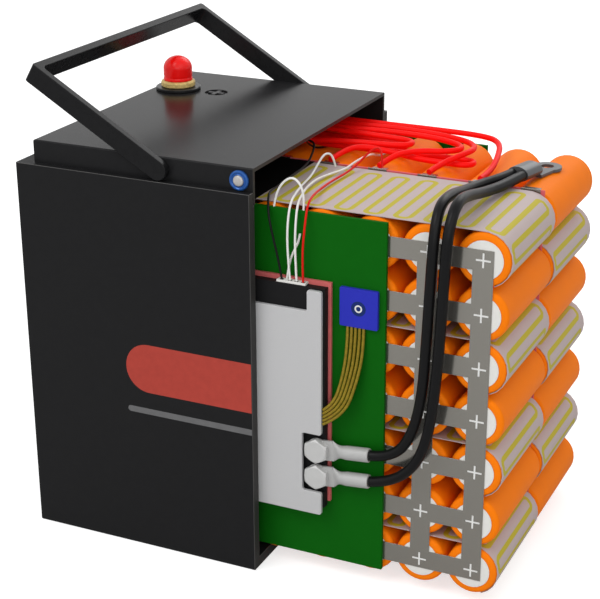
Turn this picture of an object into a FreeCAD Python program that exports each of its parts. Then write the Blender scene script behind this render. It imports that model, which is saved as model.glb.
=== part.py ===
import FreeCAD, Part
import math
import os
import Sketcher

# A lithium iron phosphate battery, cut open to show its cells.
# The origin is the middle of the remaining case's base, +Z is up, +X runs
# from the closed end towards the open cells, and -Y is the front.

Vector = FreeCAD.Vector
Rotation = FreeCAD.Rotation
doc = FreeCAD.newDocument("cutaway_battery")

# Driving dimensions, in millimetres and degrees
SIZES = [
    ("case_length", 128.4),
    ("case_depth", 169.0),
    ("case_height", 199.2),
    ("case_wall", 5.5),
    ("case_corner", 0.8),
    ("lid_height", 11.3),
    ("lid_side_inset", 4.5),
    ("lid_end_inset", 8.3),
    ("lid_wall", 1.8),
    ("lid_skirt", 6.5),
    ("lid_gap", 0.2),
    ("lid_edge", 0.9),
    ("handle_reach", 79.6),
    ("handle_width", 9.8),
    ("handle_thickness", 4.0),
    ("handle_gap", 0.36),
    ("handle_corner", 1.6),
    ("handle_inner_corner", 2.5),
    ("handle_rest_angle", 30.7),
    ("pivot_inset", 48.8),
    ("pivot_drop", 5.85),
    ("pin_diameter", 5.0),
    ("pin_gap", 0.06),
    ("pin_fit", 0.02),
    ("pin_head_diameter", 7.6),
    ("pin_head_height", 1.6),
    ("pin_bite", 2.8),
    ("terminal_inset", 22.2),
    ("terminal_side", 40.0),
    ("stud_diameter", 8.0),
    ("stud_clearance", 0.4),
    ("stud_rise", 11.5),
    ("washer_diameter", 24.5),
    ("washer_thickness", 1.8),
    ("collar_diameter", 18.6),
    ("collar_height", 3.4),
    ("cap_diameter", 15.8),
    ("cap_height", 13.2),
    ("cap_gap", 0.1),
    ("nut_width", 14.0),
    ("nut_height", 5.0),
    ("jam_nut_height", 2.6),
    ("bar_length", 23.2),
    ("bar_width", 34.0),
    ("bar_thickness", 2.0),
    ("mark_inset", 45.2),
    ("mark_side", 41.0),
    ("mark_diameter", 12.6),
    ("mark_depth", 0.8),
    ("button_inset", 6.9),
    ("button_drop", 6.2),
    ("bezel_diameter", 10.2),
    ("bezel_proud", 1.7),
    ("barrel_diameter", 6.8),
    ("barrel_length", 8.4),
    ("plunger_diameter", 5.3),
    ("plunger_proud", 0.6),
    ("plunger_depth", 7.2),
    ("plunger_gap", 0.08),
    ("button_nut_width", 8.4),
    ("button_nut_height", 2.2),
    ("cell_spacing", 0.6),
    ("cell_columns", 9),
    ("cell_rows", 7),
    ("pack_floor_gap", 0.25),
    ("pack_end_gap", 5.9),
    ("pack_front_gap", 10.6),
    ("pack_back_gap", 9.3),
    ("pack_top_gap", 7.85),
    ("ring_diameter", 19.0),
    ("ring_thickness", 0.3),
    ("strip_width", 10.0),
    ("strip_thickness", 0.3),
    ("tab_width", 8.0),
    ("tab_length", 3.8),
    ("tab_lift", 0.1),
    ("separator_thickness", 1.0),
    ("separator_gap", 0.2),
    ("separator_reach", 7.0),
    ("separator_rise", 0.35),
    ("strip_rise", 1.25),
    ("film_thickness", 0.4),
    ("film_gap", 0.1),
    ("film_margin", 1.0),
    ("board_thickness", 2.0),
    ("board_gap", 0.3),
    ("board_width", 122.0),
    ("board_top_gap", 1.15),
    ("board_right_inset", 58.6),
    ("board_foot", 8.8),
    ("guard_gap", 0.3),
    ("guard_right_inset", 26.9),
    ("guard_width", 64.5),
    ("guard_height", 115.3),
    ("guard_rise", 33.5),
    ("guard_board", 1.6),
    ("guard_body", 4.0),
    ("guard_edge", 0.7),
    ("guard_side_edge", 1.5),
    ("guard_recess", 2.0),
    ("plate_thickness", 2.1),
    ("plate_right_inset", 2.4),
    ("plate_overhang", 4.3),
    ("plate_height", 107.2),
    ("plate_tab_width", 7.5),
    ("plate_tab_rise", 10.6),
    ("plate_notch_width", 10.2),
    ("plate_notch_foot", 12.1),
    ("plate_notch_height", 31.3),
    ("plate_corner", 1.2),
    ("bolt_inset", 5.6),
    ("bolt_rise", 28.7),
    ("bolt_spacing", 14.1),
    ("bolt_head_width", 11.4),
    ("bolt_head_height", 2.9),
    ("bolt_shank", 6.0),
    ("bolt_gap", 0.15),
    ("bolt_depth", 3.2),
    ("lug_diameter", 11.8),
    ("lug_thickness", 1.4),
    ("lug_hole", 6.4),
    ("lug_reach", 27.4),
    ("lug_strap", 8.6),
    ("lug_strap_width", 11.0),
    ("lug_strap_run", 2.0),
    ("lug_strap_ease", 1.4),
    ("lug_barrel", 7.0),
    ("lug_barrel_length", 14.6),
    ("lug_tilt", 5.0),
    ("socket_inset", 37.8),
    ("socket_width", 16.1),
    ("socket_depth", 3.7),
    ("socket_height", 2.0),
    ("module_inset", 22.6),
    ("module_drop", 53.0),
    ("module_width", 19.4),
    ("module_thickness", 2.0),
    ("module_corner", 0.8),
    ("outlet_inset", 3.0),
    ("outlet_hole_y", 38.0),
    ("outlet_turn", 14.5),
    ("outlet_diameter", 14.4),
    ("outlet_hole", 6.4),
    ("outlet_thickness", 1.5),
    ("outlet_reach", 28.0),
    ("outlet_barrel_width", 12.0),
    ("outlet_barrel_height", 7.6),
    ("outlet_barrel_length", 13.5),
    ("outlet_lift", 0.3),
    ("power_wire", 5.2),
    ("charge_wire", 3.0),
    ("sense_wire", 1.3),
    ("lead_wire", 1.0),
    ("lead_spacing", 2.05),
    ("lead_inset", 3.9),
    ("lead_gap", 0.5),
    ("lead_lift", 0.05),
    ("lead_rise", 22.8),
    ("lead_turn", 4.6),
    ("lead_drop", 4.2),
]

# Sizes that follow from the others: the cells fill the case, the boards follow the cells
FOLLOWING = [
    ("cell_length", "(case_depth - 2 * case_wall - pack_front_gap - pack_back_gap - ring_thickness"
     " - 4 * strip_thickness - separator_thickness - 2 * separator_gap) / 2"),
    ("cell_pitch", "(case_height - case_wall - pack_floor_gap - pack_top_gap + cell_spacing) / cell_rows"),
    ("cell_diameter", "cell_pitch - cell_spacing"),
    ("board_height", "case_height - pack_top_gap - board_top_gap - board_foot"),
    ("board_right", "-case_length / 2 + case_wall + pack_end_gap + cell_diameter"
     " + (cell_columns - 1) * cell_pitch - board_right_inset"),
    ("guard_left", "board_right - guard_right_inset - guard_width"),
    ("guard_foot", "board_foot + guard_rise"),
    ("bolt_column", "guard_left + guard_width - bolt_inset"),
    ("bolt_top", "guard_foot + bolt_rise"),
    ("socket_left", "guard_left + socket_inset"),
    ("module_left", "board_right - module_inset"),
    ("module_foot", "board_foot + board_height - module_drop"),
    ("outlet_hole_x", "board_right + board_right_inset - cell_diameter / 2 - outlet_inset"),
]

sheet = doc.addObject("Spreadsheet::Sheet", "Sizes")
for row, (alias, entry) in enumerate(SIZES + FOLLOWING, start=1):
    sheet.set("A%d" % row, alias)
    sheet.set("B%d" % row, "=" + entry if isinstance(entry, str) else str(entry))
    sheet.setAlias("B%d" % row, alias)
doc.recompute()


def sized(text):
    """Turn bare size names into references to the sheet."""
    words = {alias for alias, entry in SIZES + FOLLOWING}
    out = ""
    name = ""
    for letter in text + " ":
        if letter.isalnum() or letter == "_":
            name += letter
            continue
        out += "Sizes." + name if name in words else name
        out += letter
        name = ""
    return out.strip()


def value(text):
    """The number that an expression over the sizes gives now."""
    result = sheet.evalExpression(sized(text))
    return float(getattr(result, "Value", result))


def bind(thing, target, text):
    thing.setExpression(target, sized(text))


# Places that several pieces share, as expressions over the sizes
CASE_LEFT = "(-case_length / 2)"
CASE_CUT = "(case_length / 2)"
CASE_FRONT = "(-case_depth / 2)"
INNER_FRONT = "(-case_depth / 2 + case_wall)"
LID_TOP = "(case_height + lid_height)"
LID_UNDER = "(case_height + lid_height - lid_wall)"
LID_FOOT = "(case_height - lid_skirt + lid_gap)"
LID_SIDE = "(case_depth / 2 - lid_side_inset)"
PIVOT_X = "(case_length / 2 - pivot_inset)"
PIVOT_Z = "(case_height + lid_height - pivot_drop)"
TERMINAL_X = "(-case_length / 2 + terminal_inset)"
COLLAR_TOP = "(case_height + lid_height + washer_thickness + collar_height)"
NUT_FOOT = "(case_height + lid_height - lid_wall - nut_height)"
BAR_FOOT = "(case_height + lid_height - lid_wall - nut_height - bar_thickness)"
BUTTON_X = "(case_length / 2 - button_inset)"
BUTTON_Z = "(case_height + lid_height - button_drop)"
FIRST_X = "(-case_length / 2 + case_wall + pack_end_gap + cell_diameter / 2)"
LAST_X = "(" + FIRST_X + " + (cell_columns - 1) * cell_pitch)"
FIRST_Z = "(case_wall + pack_floor_gap + cell_diameter / 2)"
LAST_Z = "(" + FIRST_Z + " + (cell_rows - 1) * cell_pitch)"
CREST_Z = "(" + LAST_Z + " + cell_diameter / 2)"
STRIP_FRONT = "(-case_depth / 2 + case_wall + pack_front_gap)"
CELL_FRONT = "(" + STRIP_FRONT + " + strip_thickness + ring_thickness)"
INNER_STRIP = "(" + CELL_FRONT + " + cell_length)"
SEPARATOR_FRONT = "(" + INNER_STRIP + " + strip_thickness + separator_gap)"
BACK_STRIP = "(" + SEPARATOR_FRONT + " + separator_thickness + separator_gap)"
BACK_CELLS = "(" + BACK_STRIP + " + strip_thickness)"
REAR_STRIP = "(" + BACK_CELLS + " + cell_length)"
SEPARATOR_TOP = "(" + CREST_Z + " + film_gap + film_thickness + separator_rise)"
BOARD_FRONT = "(" + STRIP_FRONT + " - board_gap - board_thickness)"
BACK_BOARD = "(" + REAR_STRIP + " + strip_thickness + board_gap)"
GUARD_BACK = "(" + BOARD_FRONT + " - guard_gap)"
GUARD_FACE = "(" + GUARD_BACK + " - guard_board - guard_body)"
GUARD_RIGHT = "(guard_left + guard_width)"
BODY_RIGHT = "(guard_left + guard_width - guard_side_edge)"
BOLT_HOLE = "(bolt_shank + 2 * bolt_gap)"
PLATE_RIGHT = "(guard_left + guard_width - plate_right_inset)"
PLATE_FOOT = "(guard_foot - plate_overhang)"
RECESS_FLOOR = "(" + GUARD_FACE + " + guard_recess)"


def start_body(label):
    body = doc.addObject("PartDesign::Body", label)
    body.Label = label
    body.AllowCompound = True
    return body


def origin_part(body, role):
    return [part for part in body.Origin.OriginFeatures if part.Role == role][0]


def start_sketch(body, role, offset="0"):
    """A sketch on one of the body's origin planes, moved along its normal."""
    sketch = body.newObject("Sketcher::SketchObject", body.Label + "_sketch")
    sketch.AttachmentSupport = [(origin_part(body, role), "")]
    sketch.MapMode = "FlatFace"
    bind(sketch, "AttachmentOffset.Base.z", offset)
    return sketch


def fix_point(sketch, edge, end, x, y):
    """Tie one end of a sketch edge to a place given by two expressions."""
    for kind, text in (("DistanceX", x), ("DistanceY", y)):
        made = sketch.addConstraint(Sketcher.Constraint(kind, -1, 1, edge, end, value(text)))
        bind(sketch, "Constraints[%d]" % made, text)


def draw_outline(sketch, corners):
    """A closed outline of straight edges through the given corners."""
    points = [Vector(value(x), value(y), 0) for x, y in corners]
    first = sketch.GeometryCount
    count = len(points)
    for index in range(count):
        edge = Part.LineSegment(points[index], points[(index + 1) % count])
        sketch.addGeometry(edge, False)
    for index in range(count):
        following = first + (index + 1) % count
        sketch.addConstraint(Sketcher.Constraint("Coincident", first + index, 2, following, 1))
    for index, (x, y) in enumerate(corners):
        fix_point(sketch, first + index, 1, x, y)


def draw_rectangle(sketch, left, right, low, high):
    draw_outline(sketch, [(left, low), (right, low), (right, high), (left, high)])


def draw_circle(sketch, x, y, diameter):
    centre = Vector(value(x), value(y), 0)
    circle = sketch.addGeometry(Part.Circle(centre, Vector(0, 0, 1), value(diameter) / 2), False)
    fix_point(sketch, circle, 3, x, y)
    made = sketch.addConstraint(Sketcher.Constraint("Diameter", circle, value(diameter)))
    bind(sketch, "Constraints[%d]" % made, diameter)


def draw_polygon(sketch, sides, x, y, radius, start=0):
    """A regular polygon with its first corner at an angle to the sketch's horizontal axis."""
    corners = []
    for index in range(sides):
        turn = "%g deg" % (start + 360.0 * index / sides)
        corners.append((x + " + " + radius + " * cos(" + turn + ")",
                        y + " + " + radius + " * sin(" + turn + ")"))
    draw_outline(sketch, corners)


def pad(body, sketch, length, reverse=False, both=False):
    feature = body.newObject("PartDesign::Pad", body.Label + "_pad")
    feature.Profile = sketch
    bind(feature, "Length", length)
    feature.Reversed = reverse
    feature.Midplane = both
    sketch.Visibility = False
    body.Tip = feature
    doc.recompute()
    return feature


def pocket(body, sketch, length, reverse=False, both=False):
    """A cut that has to take material away."""
    before = body.Shape.Volume
    feature = body.newObject("PartDesign::Pocket", body.Label + "_pocket")
    feature.Profile = sketch
    bind(feature, "Length", length)
    feature.Reversed = reverse
    feature.Midplane = both
    body.Tip = feature
    doc.recompute()
    if body.Shape.Volume > before - 1e-6:
        raise RuntimeError(body.Label + ": a pocket cut nothing")
    return feature


def fillet(body, chosen, radius):
    """Round the edges of the body's tip that a test picks."""
    base = body.Tip
    names = []
    for index, edge in enumerate(base.Shape.Edges, start=1):
        if chosen(edge):
            names.append("Edge%d" % index)
    feature = body.newObject("PartDesign::Fillet", body.Label + "_fillet")
    feature.Base = (base, names)
    bind(feature, "Radius", radius)
    body.Tip = feature
    doc.recompute()
    return feature


def repeat(body, features, axis, count, step):
    """Copies of features in a row along one of the body's axes."""
    feature = body.newObject("PartDesign::LinearPattern", body.Label + "_pattern")
    feature.Originals = features
    feature.Direction = (origin_part(body, axis), [""])
    bind(feature, "Length", step + " * (" + count + " - 1)")
    bind(feature, "Occurrences", count)
    body.Tip = feature
    doc.recompute()
    return feature


def grid(body, feature, step, columns, rows):
    """Copies of one feature in columns along X and rows along Z."""
    pattern = body.newObject("PartDesign::LinearPattern", body.Label + "_grid")
    pattern.Originals = [feature]
    pattern.Direction = (origin_part(body, "X_Axis"), [""])
    bind(pattern, "Length", step + " * (" + columns + " - 1)")
    bind(pattern, "Occurrences", columns)
    pattern.Direction2 = (origin_part(body, "Z_Axis"), [""])
    bind(pattern, "Length2", step + " * (" + rows + " - 1)")
    bind(pattern, "Occurrences2", rows)
    body.Tip = pattern
    doc.recompute()
    return pattern


def is_along(edge, direction):
    """True for a straight edge that runs along the given direction."""
    if edge.Curve.TypeId != "Part::GeomLine":
        return False
    run = edge.Vertexes[-1].Point.sub(edge.Vertexes[0].Point)
    return run.cross(direction).Length < 1e-6 * run.Length


def place(thing, x="0", y="0", z="0"):
    bind(thing, "Placement.Base.x", x)
    bind(thing, "Placement.Base.y", y)
    bind(thing, "Placement.Base.z", z)


def make_box(label, left, right, front, back, foot, top):
    box = doc.addObject("Part::Box", label)
    box.Label = label
    bind(box, "Length", right + " - (" + left + ")")
    bind(box, "Width", back + " - (" + front + ")")
    bind(box, "Height", top + " - (" + foot + ")")
    place(box, left, front, foot)
    return box


# Case: an open-topped moulded box, sectioned across its length
def make_case():
    body = start_body("case")
    sketch = start_sketch(body, "XY_Plane")
    draw_rectangle(sketch, CASE_LEFT, CASE_CUT, CASE_FRONT, "case_depth / 2")
    pad(body, sketch, "case_height")
    left = value(CASE_LEFT)
    cut = value(CASE_CUT)

    def is_outer_corner(edge):
        middle = edge.CenterOfMass
        if is_along(edge, Vector(0, 0, 1)):
            return abs(middle.x - left) < 0.01
        return middle.z < 0.01 and abs(middle.x - cut) > 0.01

    fillet(body, is_outer_corner, "case_corner")
    room = start_sketch(body, "YZ_Plane", CASE_CUT)
    draw_rectangle(room, INNER_FRONT, "case_depth / 2 - case_wall", "case_wall", "case_height - lid_skirt")
    pocket(body, room, "case_length - case_wall")
    mouth = start_sketch(body, "YZ_Plane", CASE_CUT)
    side = LID_SIDE + " + lid_gap"
    draw_rectangle(mouth, "-(" + side + ")", side, "case_height - lid_skirt", "case_height + 1")
    pocket(body, mouth, "case_length - lid_end_inset + lid_gap")
    return body


# Lid: an inverted tray whose skirt drops inside the case's rim
def make_lid():
    body = start_body("lid")
    sketch = start_sketch(body, "YZ_Plane", CASE_CUT)
    draw_rectangle(sketch, "-" + LID_SIDE, LID_SIDE, LID_FOOT, LID_TOP)
    pad(body, sketch, "case_length - lid_end_inset", reverse=True)
    top = value(LID_TOP)
    cut = value(CASE_CUT)

    def is_top_edge(edge):
        middle = edge.CenterOfMass
        return abs(middle.z - top) < 0.01 and abs(middle.x - cut) > 0.01

    fillet(body, is_top_edge, "lid_edge")
    room = start_sketch(body, "YZ_Plane", CASE_CUT)
    inside = "(" + LID_SIDE + " - lid_wall)"
    draw_rectangle(room, "-" + inside, inside, LID_FOOT + " - 1", LID_UNDER)
    pocket(body, room, "case_length - lid_end_inset - lid_wall")
    stud = start_sketch(body, "XY_Plane", LID_TOP)
    draw_circle(stud, TERMINAL_X, "terminal_side", "stud_diameter + stud_clearance")
    pocket(body, stud, "lid_wall * 2")
    pins = start_sketch(body, "XZ_Plane")
    draw_circle(pins, PIVOT_X, PIVOT_Z, "pin_diameter")
    pocket(body, pins, "case_depth", both=True)
    button = start_sketch(body, "XZ_Plane", LID_SIDE + " + 1")
    draw_circle(button, BUTTON_X, BUTTON_Z, "barrel_diameter + plunger_gap")
    pocket(body, button, "lid_wall + 2")
    # A shallow round well marks the positive side
    well = start_sketch(body, "XY_Plane", LID_TOP)
    draw_circle(well, "-case_length / 2 + mark_inset", "mark_side", "mark_diameter")
    pocket(body, well, "mark_depth")
    return body


# Handle: a flat band bent into a bail, drawn folded and then raised
def make_handle():
    body = start_body("handle")
    inside = "(" + LID_SIDE + " + handle_gap)"
    outside = "(" + inside + " + handle_thickness)"
    root = "(handle_width / 2)"
    grip = "(-handle_reach)"
    grip_inner = "(-handle_reach + handle_thickness)"
    sketch = start_sketch(body, "XY_Plane")
    draw_outline(sketch, [
        (root, "-" + outside), (root, "-" + inside), (grip_inner, "-" + inside), (grip_inner, inside),
        (root, inside), (root, outside), (grip, outside), (grip, "-" + outside)])
    pad(body, sketch, "handle_width", both=True)
    reach = value(grip)
    inner = value(grip_inner)

    def is_outer_bend(edge):
        return is_along(edge, Vector(0, 0, 1)) and abs(edge.CenterOfMass.x - reach) < 0.01

    def is_inner_bend(edge):
        return is_along(edge, Vector(0, 0, 1)) and abs(edge.CenterOfMass.x - inner) < 0.01

    def is_arm_end(edge):
        return is_along(edge, Vector(0, 1, 0)) and edge.CenterOfMass.x > 0

    fillet(body, is_outer_bend, "handle_corner")
    fillet(body, is_inner_bend, "handle_inner_corner")
    fillet(body, is_arm_end, "handle_width / 2 - 0.05")
    bores = start_sketch(body, "XZ_Plane")
    draw_circle(bores, "0", "0", "pin_diameter + 2 * pin_gap")
    pocket(body, bores, "2 * (" + inside + " + pin_bite + pin_gap)", both=True)
    place(body, PIVOT_X, "0", PIVOT_Z)
    raised = Rotation(Vector(0, 1, 0), value("handle_rest_angle"))
    body.Placement = FreeCAD.Placement(body.Placement.Base, raised)
    place(body, PIVOT_X, "0", PIVOT_Z)
    bind(body, "Placement.Rotation.Angle", "handle_rest_angle * 1 deg")
    return body


def revolve(body, sketch, axis):
    feature = body.newObject("PartDesign::Revolution", body.Label + "_revolution")
    feature.Profile = sketch
    feature.ReferenceAxis = (origin_part(body, axis), [""])
    feature.Angle = 360
    body.Tip = feature
    doc.recompute()
    return feature


# Handle pins: headed studs pushed through the lid's walls from inside
def make_handle_pins():
    body = start_body("handle_pins")
    wall = "(" + LID_SIDE + " - lid_wall)"
    tip = "(" + LID_SIDE + " + handle_gap + pin_bite)"
    sketch = start_sketch(body, "YZ_Plane")
    shank = "(pin_diameter / 2 - pin_fit)"
    for sign in ("-", ""):
        draw_outline(sketch, [
            (sign + "(" + wall + " - pin_head_height)", "0"), (sign + "(" + wall + " - pin_head_height)",
             "pin_head_diameter / 2"), (sign + wall, "pin_head_diameter / 2"), (sign + wall, shank),
            (sign + tip, shank), (sign + tip, "0")])
    revolve(body, sketch, "Y_Axis")
    place(body, PIVOT_X, "0", PIVOT_Z)
    return body


# Positive terminal: black washer, brass post, nuts, inner bar and red cap
def make_terminal_washer():
    body = start_body("terminal_washer")
    sketch = start_sketch(body, "XY_Plane")
    draw_circle(sketch, "0", "0", "washer_diameter")
    draw_circle(sketch, "0", "0", "stud_diameter + stud_clearance")
    pad(body, sketch, "washer_thickness")
    place(body, TERMINAL_X, "terminal_side", LID_TOP)
    return body


def make_terminal_post():
    body = start_body("terminal_post")
    under = "(-(washer_thickness + lid_wall + nut_height + bar_thickness + jam_nut_height + 0.8))"
    radius = "(stud_diameter / 2)"
    collar = "(collar_diameter / 2)"
    sketch = start_sketch(body, "XZ_Plane")
    draw_outline(sketch, [
        ("0", under), (radius + " - 0.8", under), (radius, under + " + 0.8"), (radius, "0"),
        (collar + " - 0.5", "0"),
        (collar, "0.5"), (collar, "collar_height - 0.7"), (collar + " - 0.7", "collar_height"),
        (radius, "collar_height"), (radius, "collar_height + stud_rise - 0.8"),
        (radius + " - 0.8", "collar_height + stud_rise"), ("0", "collar_height + stud_rise")])
    revolve(body, sketch, "Z_Axis")
    place(body, TERMINAL_X, "terminal_side", LID_TOP + " + washer_thickness")
    return body


def make_terminal_nuts():
    body = start_body("terminal_nuts")
    for foot, tall in ((NUT_FOOT, "nut_height"), (BAR_FOOT + " - jam_nut_height", "jam_nut_height")):
        sketch = start_sketch(body, "XY_Plane", foot)
        draw_polygon(sketch, 6, "0", "0", "(nut_width / 2 / cos(30 deg))")
        draw_circle(sketch, "0", "0", "stud_diameter")
        pad(body, sketch, tall)
    place(body, TERMINAL_X, "terminal_side", "0")
    return body


def make_positive_bar():
    body = start_body("positive_bar")
    sketch = start_sketch(body, "XY_Plane", BAR_FOOT)
    draw_rectangle(sketch, "-(bar_length / 2)", "bar_length / 2", "-(bar_width / 2)", "bar_width / 2")
    draw_circle(sketch, "0", "0", "stud_diameter + stud_clearance")
    pad(body, sketch, "bar_thickness")
    place(body, TERMINAL_X, "terminal_side", "0")
    return body


def make_terminal_cap():
    body = start_body("terminal_cap")
    radius = "(cap_diameter / 2)"
    bore = "(stud_diameter / 2 + cap_gap)"
    shoulder = "(cap_height * 0.52)"
    rise = "(cap_height - cap_height * 0.52)"
    dome = []
    for turn in (0, 30, 60):
        angle = "(%d deg)" % turn
        dome.append((radius + " * cos" + angle, shoulder + " + " + rise + " * sin" + angle))
    sketch = start_sketch(body, "XZ_Plane")
    draw_outline(sketch, [(bore, "0"), (radius, "0")] + dome + [
        ("0", "cap_height"), ("0", "stud_rise + cap_gap"), (bore, "stud_rise + cap_gap")])
    revolve(body, sketch, "Z_Axis")
    place(body, TERMINAL_X, "terminal_side", COLLAR_TOP)
    return body


# Push button: a flanged bezel, its lock nut and a plunger that travels
def make_button_bezel():
    body = start_body("button_bezel")
    bore = "(plunger_diameter / 2 + plunger_gap)"
    flange = "(bezel_diameter / 2)"
    barrel = "(barrel_diameter / 2)"
    sketch = start_sketch(body, "YZ_Plane")
    draw_outline(sketch, [
        ("barrel_length", "0"), ("barrel_length", barrel), ("0", barrel), ("0", flange),
        ("-bezel_proud + 0.5", flange), ("-bezel_proud", flange + " - 0.5"), ("-bezel_proud", bore),
        ("plunger_depth", bore), ("plunger_depth", "0")])
    revolve(body, sketch, "Y_Axis")
    place(body, BUTTON_X, "-" + LID_SIDE, BUTTON_Z)
    return body


def make_button_plunger():
    body = start_body("button_plunger")
    radius = "(plunger_diameter / 2)"
    face = "(-(bezel_proud + plunger_proud))"
    travel_end = "(plunger_depth - 2.2)"
    sketch = start_sketch(body, "YZ_Plane")
    draw_outline(sketch, [
        (face, "0"), (face, radius + " - 0.35"), (face + " + 0.35", radius), (travel_end, radius),
        (travel_end, "0")])
    revolve(body, sketch, "Y_Axis")
    place(body, BUTTON_X, "-" + LID_SIDE, BUTTON_Z)
    return body


def make_button_nut():
    body = start_body("button_nut")
    sketch = start_sketch(body, "XZ_Plane", "0")
    draw_polygon(sketch, 6, "0", "0", "(button_nut_width / 2 / cos(30 deg))")
    draw_circle(sketch, "0", "0", "barrel_diameter")
    pad(body, sketch, "button_nut_height", reverse=True)
    place(body, BUTTON_X, "-(" + LID_SIDE + " - lid_wall)", BUTTON_Z)
    return body


# Cells: a sixteen-sided can stands for each round one, to keep facets few
CELL_SIDES = 16


def make_cell_row(label, front, level):
    body = start_body(label)
    sketch = start_sketch(body, "XZ_Plane")
    draw_polygon(sketch, CELL_SIDES, FIRST_X, FIRST_Z, "(cell_diameter / 2)")
    can = pad(body, sketch, "cell_length", reverse=True)
    repeat(body, [can], "X_Axis", "cell_columns", "cell_pitch")
    place(body, "0", front, "cell_pitch * %d" % level)
    return body


def make_insulator_rings():
    """Paper discs over the positive ends of the front cells."""
    body = start_body("insulator_rings")
    sketch = start_sketch(body, "XZ_Plane")
    draw_polygon(sketch, 12, FIRST_X, FIRST_Z, "(ring_diameter / 2)")
    disc = pad(body, sketch, "ring_thickness", reverse=True)
    grid(body, disc, "cell_pitch", "cell_columns", "cell_rows")
    place(body, "0", CELL_FRONT + " - ring_thickness", "0")
    return body


# Nickel sheets: one welded grid over each outer face of the cells
def make_lattice(label, front):
    body = start_body(label)
    half = "(strip_width / 2)"
    sketch = start_sketch(body, "XZ_Plane")
    draw_rectangle(sketch, FIRST_X + " - " + half, LAST_X + " + " + half, FIRST_Z + " - " + half,
                   LAST_Z + " + " + half)
    pad(body, sketch, "strip_thickness", reverse=True)
    window = start_sketch(body, "XZ_Plane")
    draw_rectangle(window, FIRST_X + " + " + half, FIRST_X + " + cell_pitch - " + half,
                   FIRST_Z + " + " + half, FIRST_Z + " + cell_pitch - " + half)
    opening = pocket(body, window, "strip_thickness")
    grid(body, opening, "cell_pitch", "(cell_columns - 1)", "(cell_rows - 1)")
    place(body, "0", front, "0")
    return body


# Inner nickel strips stand between the blocks, and the rear ones fold over
def make_inner_strips(label, front, folded):
    body = start_body(label)
    half = "(strip_width / 2)"
    top = CREST_Z + " + strip_rise"
    sketch = start_sketch(body, "XZ_Plane")
    draw_rectangle(sketch, FIRST_X + " - " + half, FIRST_X + " + " + half, FIRST_Z + " - " + half,
                   CREST_Z + " + tab_lift + strip_thickness" if folded else top)
    features = [pad(body, sketch, "strip_thickness", reverse=True)]
    if folded:
        tab = start_sketch(body, "XY_Plane", CREST_Z + " + tab_lift")
        draw_rectangle(tab, FIRST_X + " - tab_width / 2", FIRST_X + " + tab_width / 2", "0", "tab_length")
        features.append(pad(body, tab, "strip_thickness"))
    repeat(body, features, "X_Axis", "cell_columns", "cell_pitch")
    place(body, "0", front, "0")
    return body


# Heating films lie on alternate rows and curl round the last cell
def make_films(label, front, level, count):
    body = start_body(label)
    inner = "(cell_diameter / 2 + film_gap)"
    outer = "(cell_diameter / 2 + film_gap + film_thickness)"
    centre = "(" + FIRST_Z + " + cell_pitch * %d)" % level
    turns = ["(%g deg)" % (90 - 360.0 * index / CELL_SIDES) for index in range(8)]
    over = [(LAST_X + " + " + outer + " * cos" + turn, centre + " + " + outer + " * sin" + turn)
            for turn in turns]
    under = [(LAST_X + " + " + inner + " * cos" + turn, centre + " + " + inner + " * sin" + turn)
             for turn in turns]
    sketch = start_sketch(body, "XZ_Plane")
    start = [(FIRST_X, centre + " + " + inner), (FIRST_X, centre + " + " + outer)]
    draw_outline(sketch, start + over + under[::-1])
    sheet_pad = pad(body, sketch, "cell_length - 2 * film_margin", reverse=True)
    repeat(body, [sheet_pad], "Z_Axis", count, "2 * cell_pitch")
    place(body, "0", front + " + film_margin", "0")
    return body


# Guard board: a moulded body on its own board, behind a metal plate
def make_guard_board():
    body = start_body("guard_board")
    sketch = start_sketch(body, "XZ_Plane")
    draw_rectangle(sketch, "guard_left", GUARD_RIGHT, "guard_foot", "guard_foot + guard_height")
    draw_circle(sketch, "bolt_column", "bolt_top", BOLT_HOLE)
    draw_circle(sketch, "bolt_column", "bolt_top - bolt_spacing", BOLT_HOLE)
    pad(body, sketch, "guard_board")
    place(body, "0", GUARD_BACK, "0")
    return body


def make_guard_body():
    body = start_body("guard_body")
    foot = "(guard_foot - guard_edge)"
    right = BODY_RIGHT
    sketch = start_sketch(body, "XZ_Plane")
    draw_rectangle(sketch, "guard_left + guard_edge", right, foot, foot + " + guard_height")
    draw_circle(sketch, "bolt_column", "bolt_top", BOLT_HOLE)
    draw_circle(sketch, "bolt_column", "bolt_top - bolt_spacing", BOLT_HOLE)
    pad(body, sketch, "guard_body")
    bay = start_sketch(body, "XZ_Plane", "guard_body")
    low = "(" + PLATE_FOOT + " + plate_notch_foot)"
    draw_rectangle(bay, PLATE_RIGHT + " - plate_notch_width", right + " + 1", low,
                   low + " + plate_notch_height")
    pocket(body, bay, "guard_recess")
    place(body, "0", GUARD_BACK + " - guard_board", "0")
    return body


def make_heat_plate():
    body = start_body("heat_plate")
    left = "(guard_left + plate_right_inset)"
    shelf = "(" + PLATE_FOOT + " + plate_height)"
    low = "(" + PLATE_FOOT + " + plate_notch_foot)"
    sketch = start_sketch(body, "XZ_Plane")
    draw_outline(sketch, [
        (left, PLATE_FOOT), (PLATE_RIGHT, PLATE_FOOT), (PLATE_RIGHT, low),
        (PLATE_RIGHT + " - plate_notch_width", low),
        (PLATE_RIGHT + " - plate_notch_width", low + " + plate_notch_height"),
        (PLATE_RIGHT, low + " + plate_notch_height"), (PLATE_RIGHT, shelf + " + plate_tab_rise"),
        (PLATE_RIGHT + " - plate_tab_width", shelf + " + plate_tab_rise"),
        (PLATE_RIGHT + " - plate_tab_width", shelf), (left, shelf)])
    pad(body, sketch, "plate_thickness")
    fillet(body, lambda edge: is_along(edge, Vector(0, 1, 0)), "plate_corner")
    place(body, "0", GUARD_FACE, "0")
    return body


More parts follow.
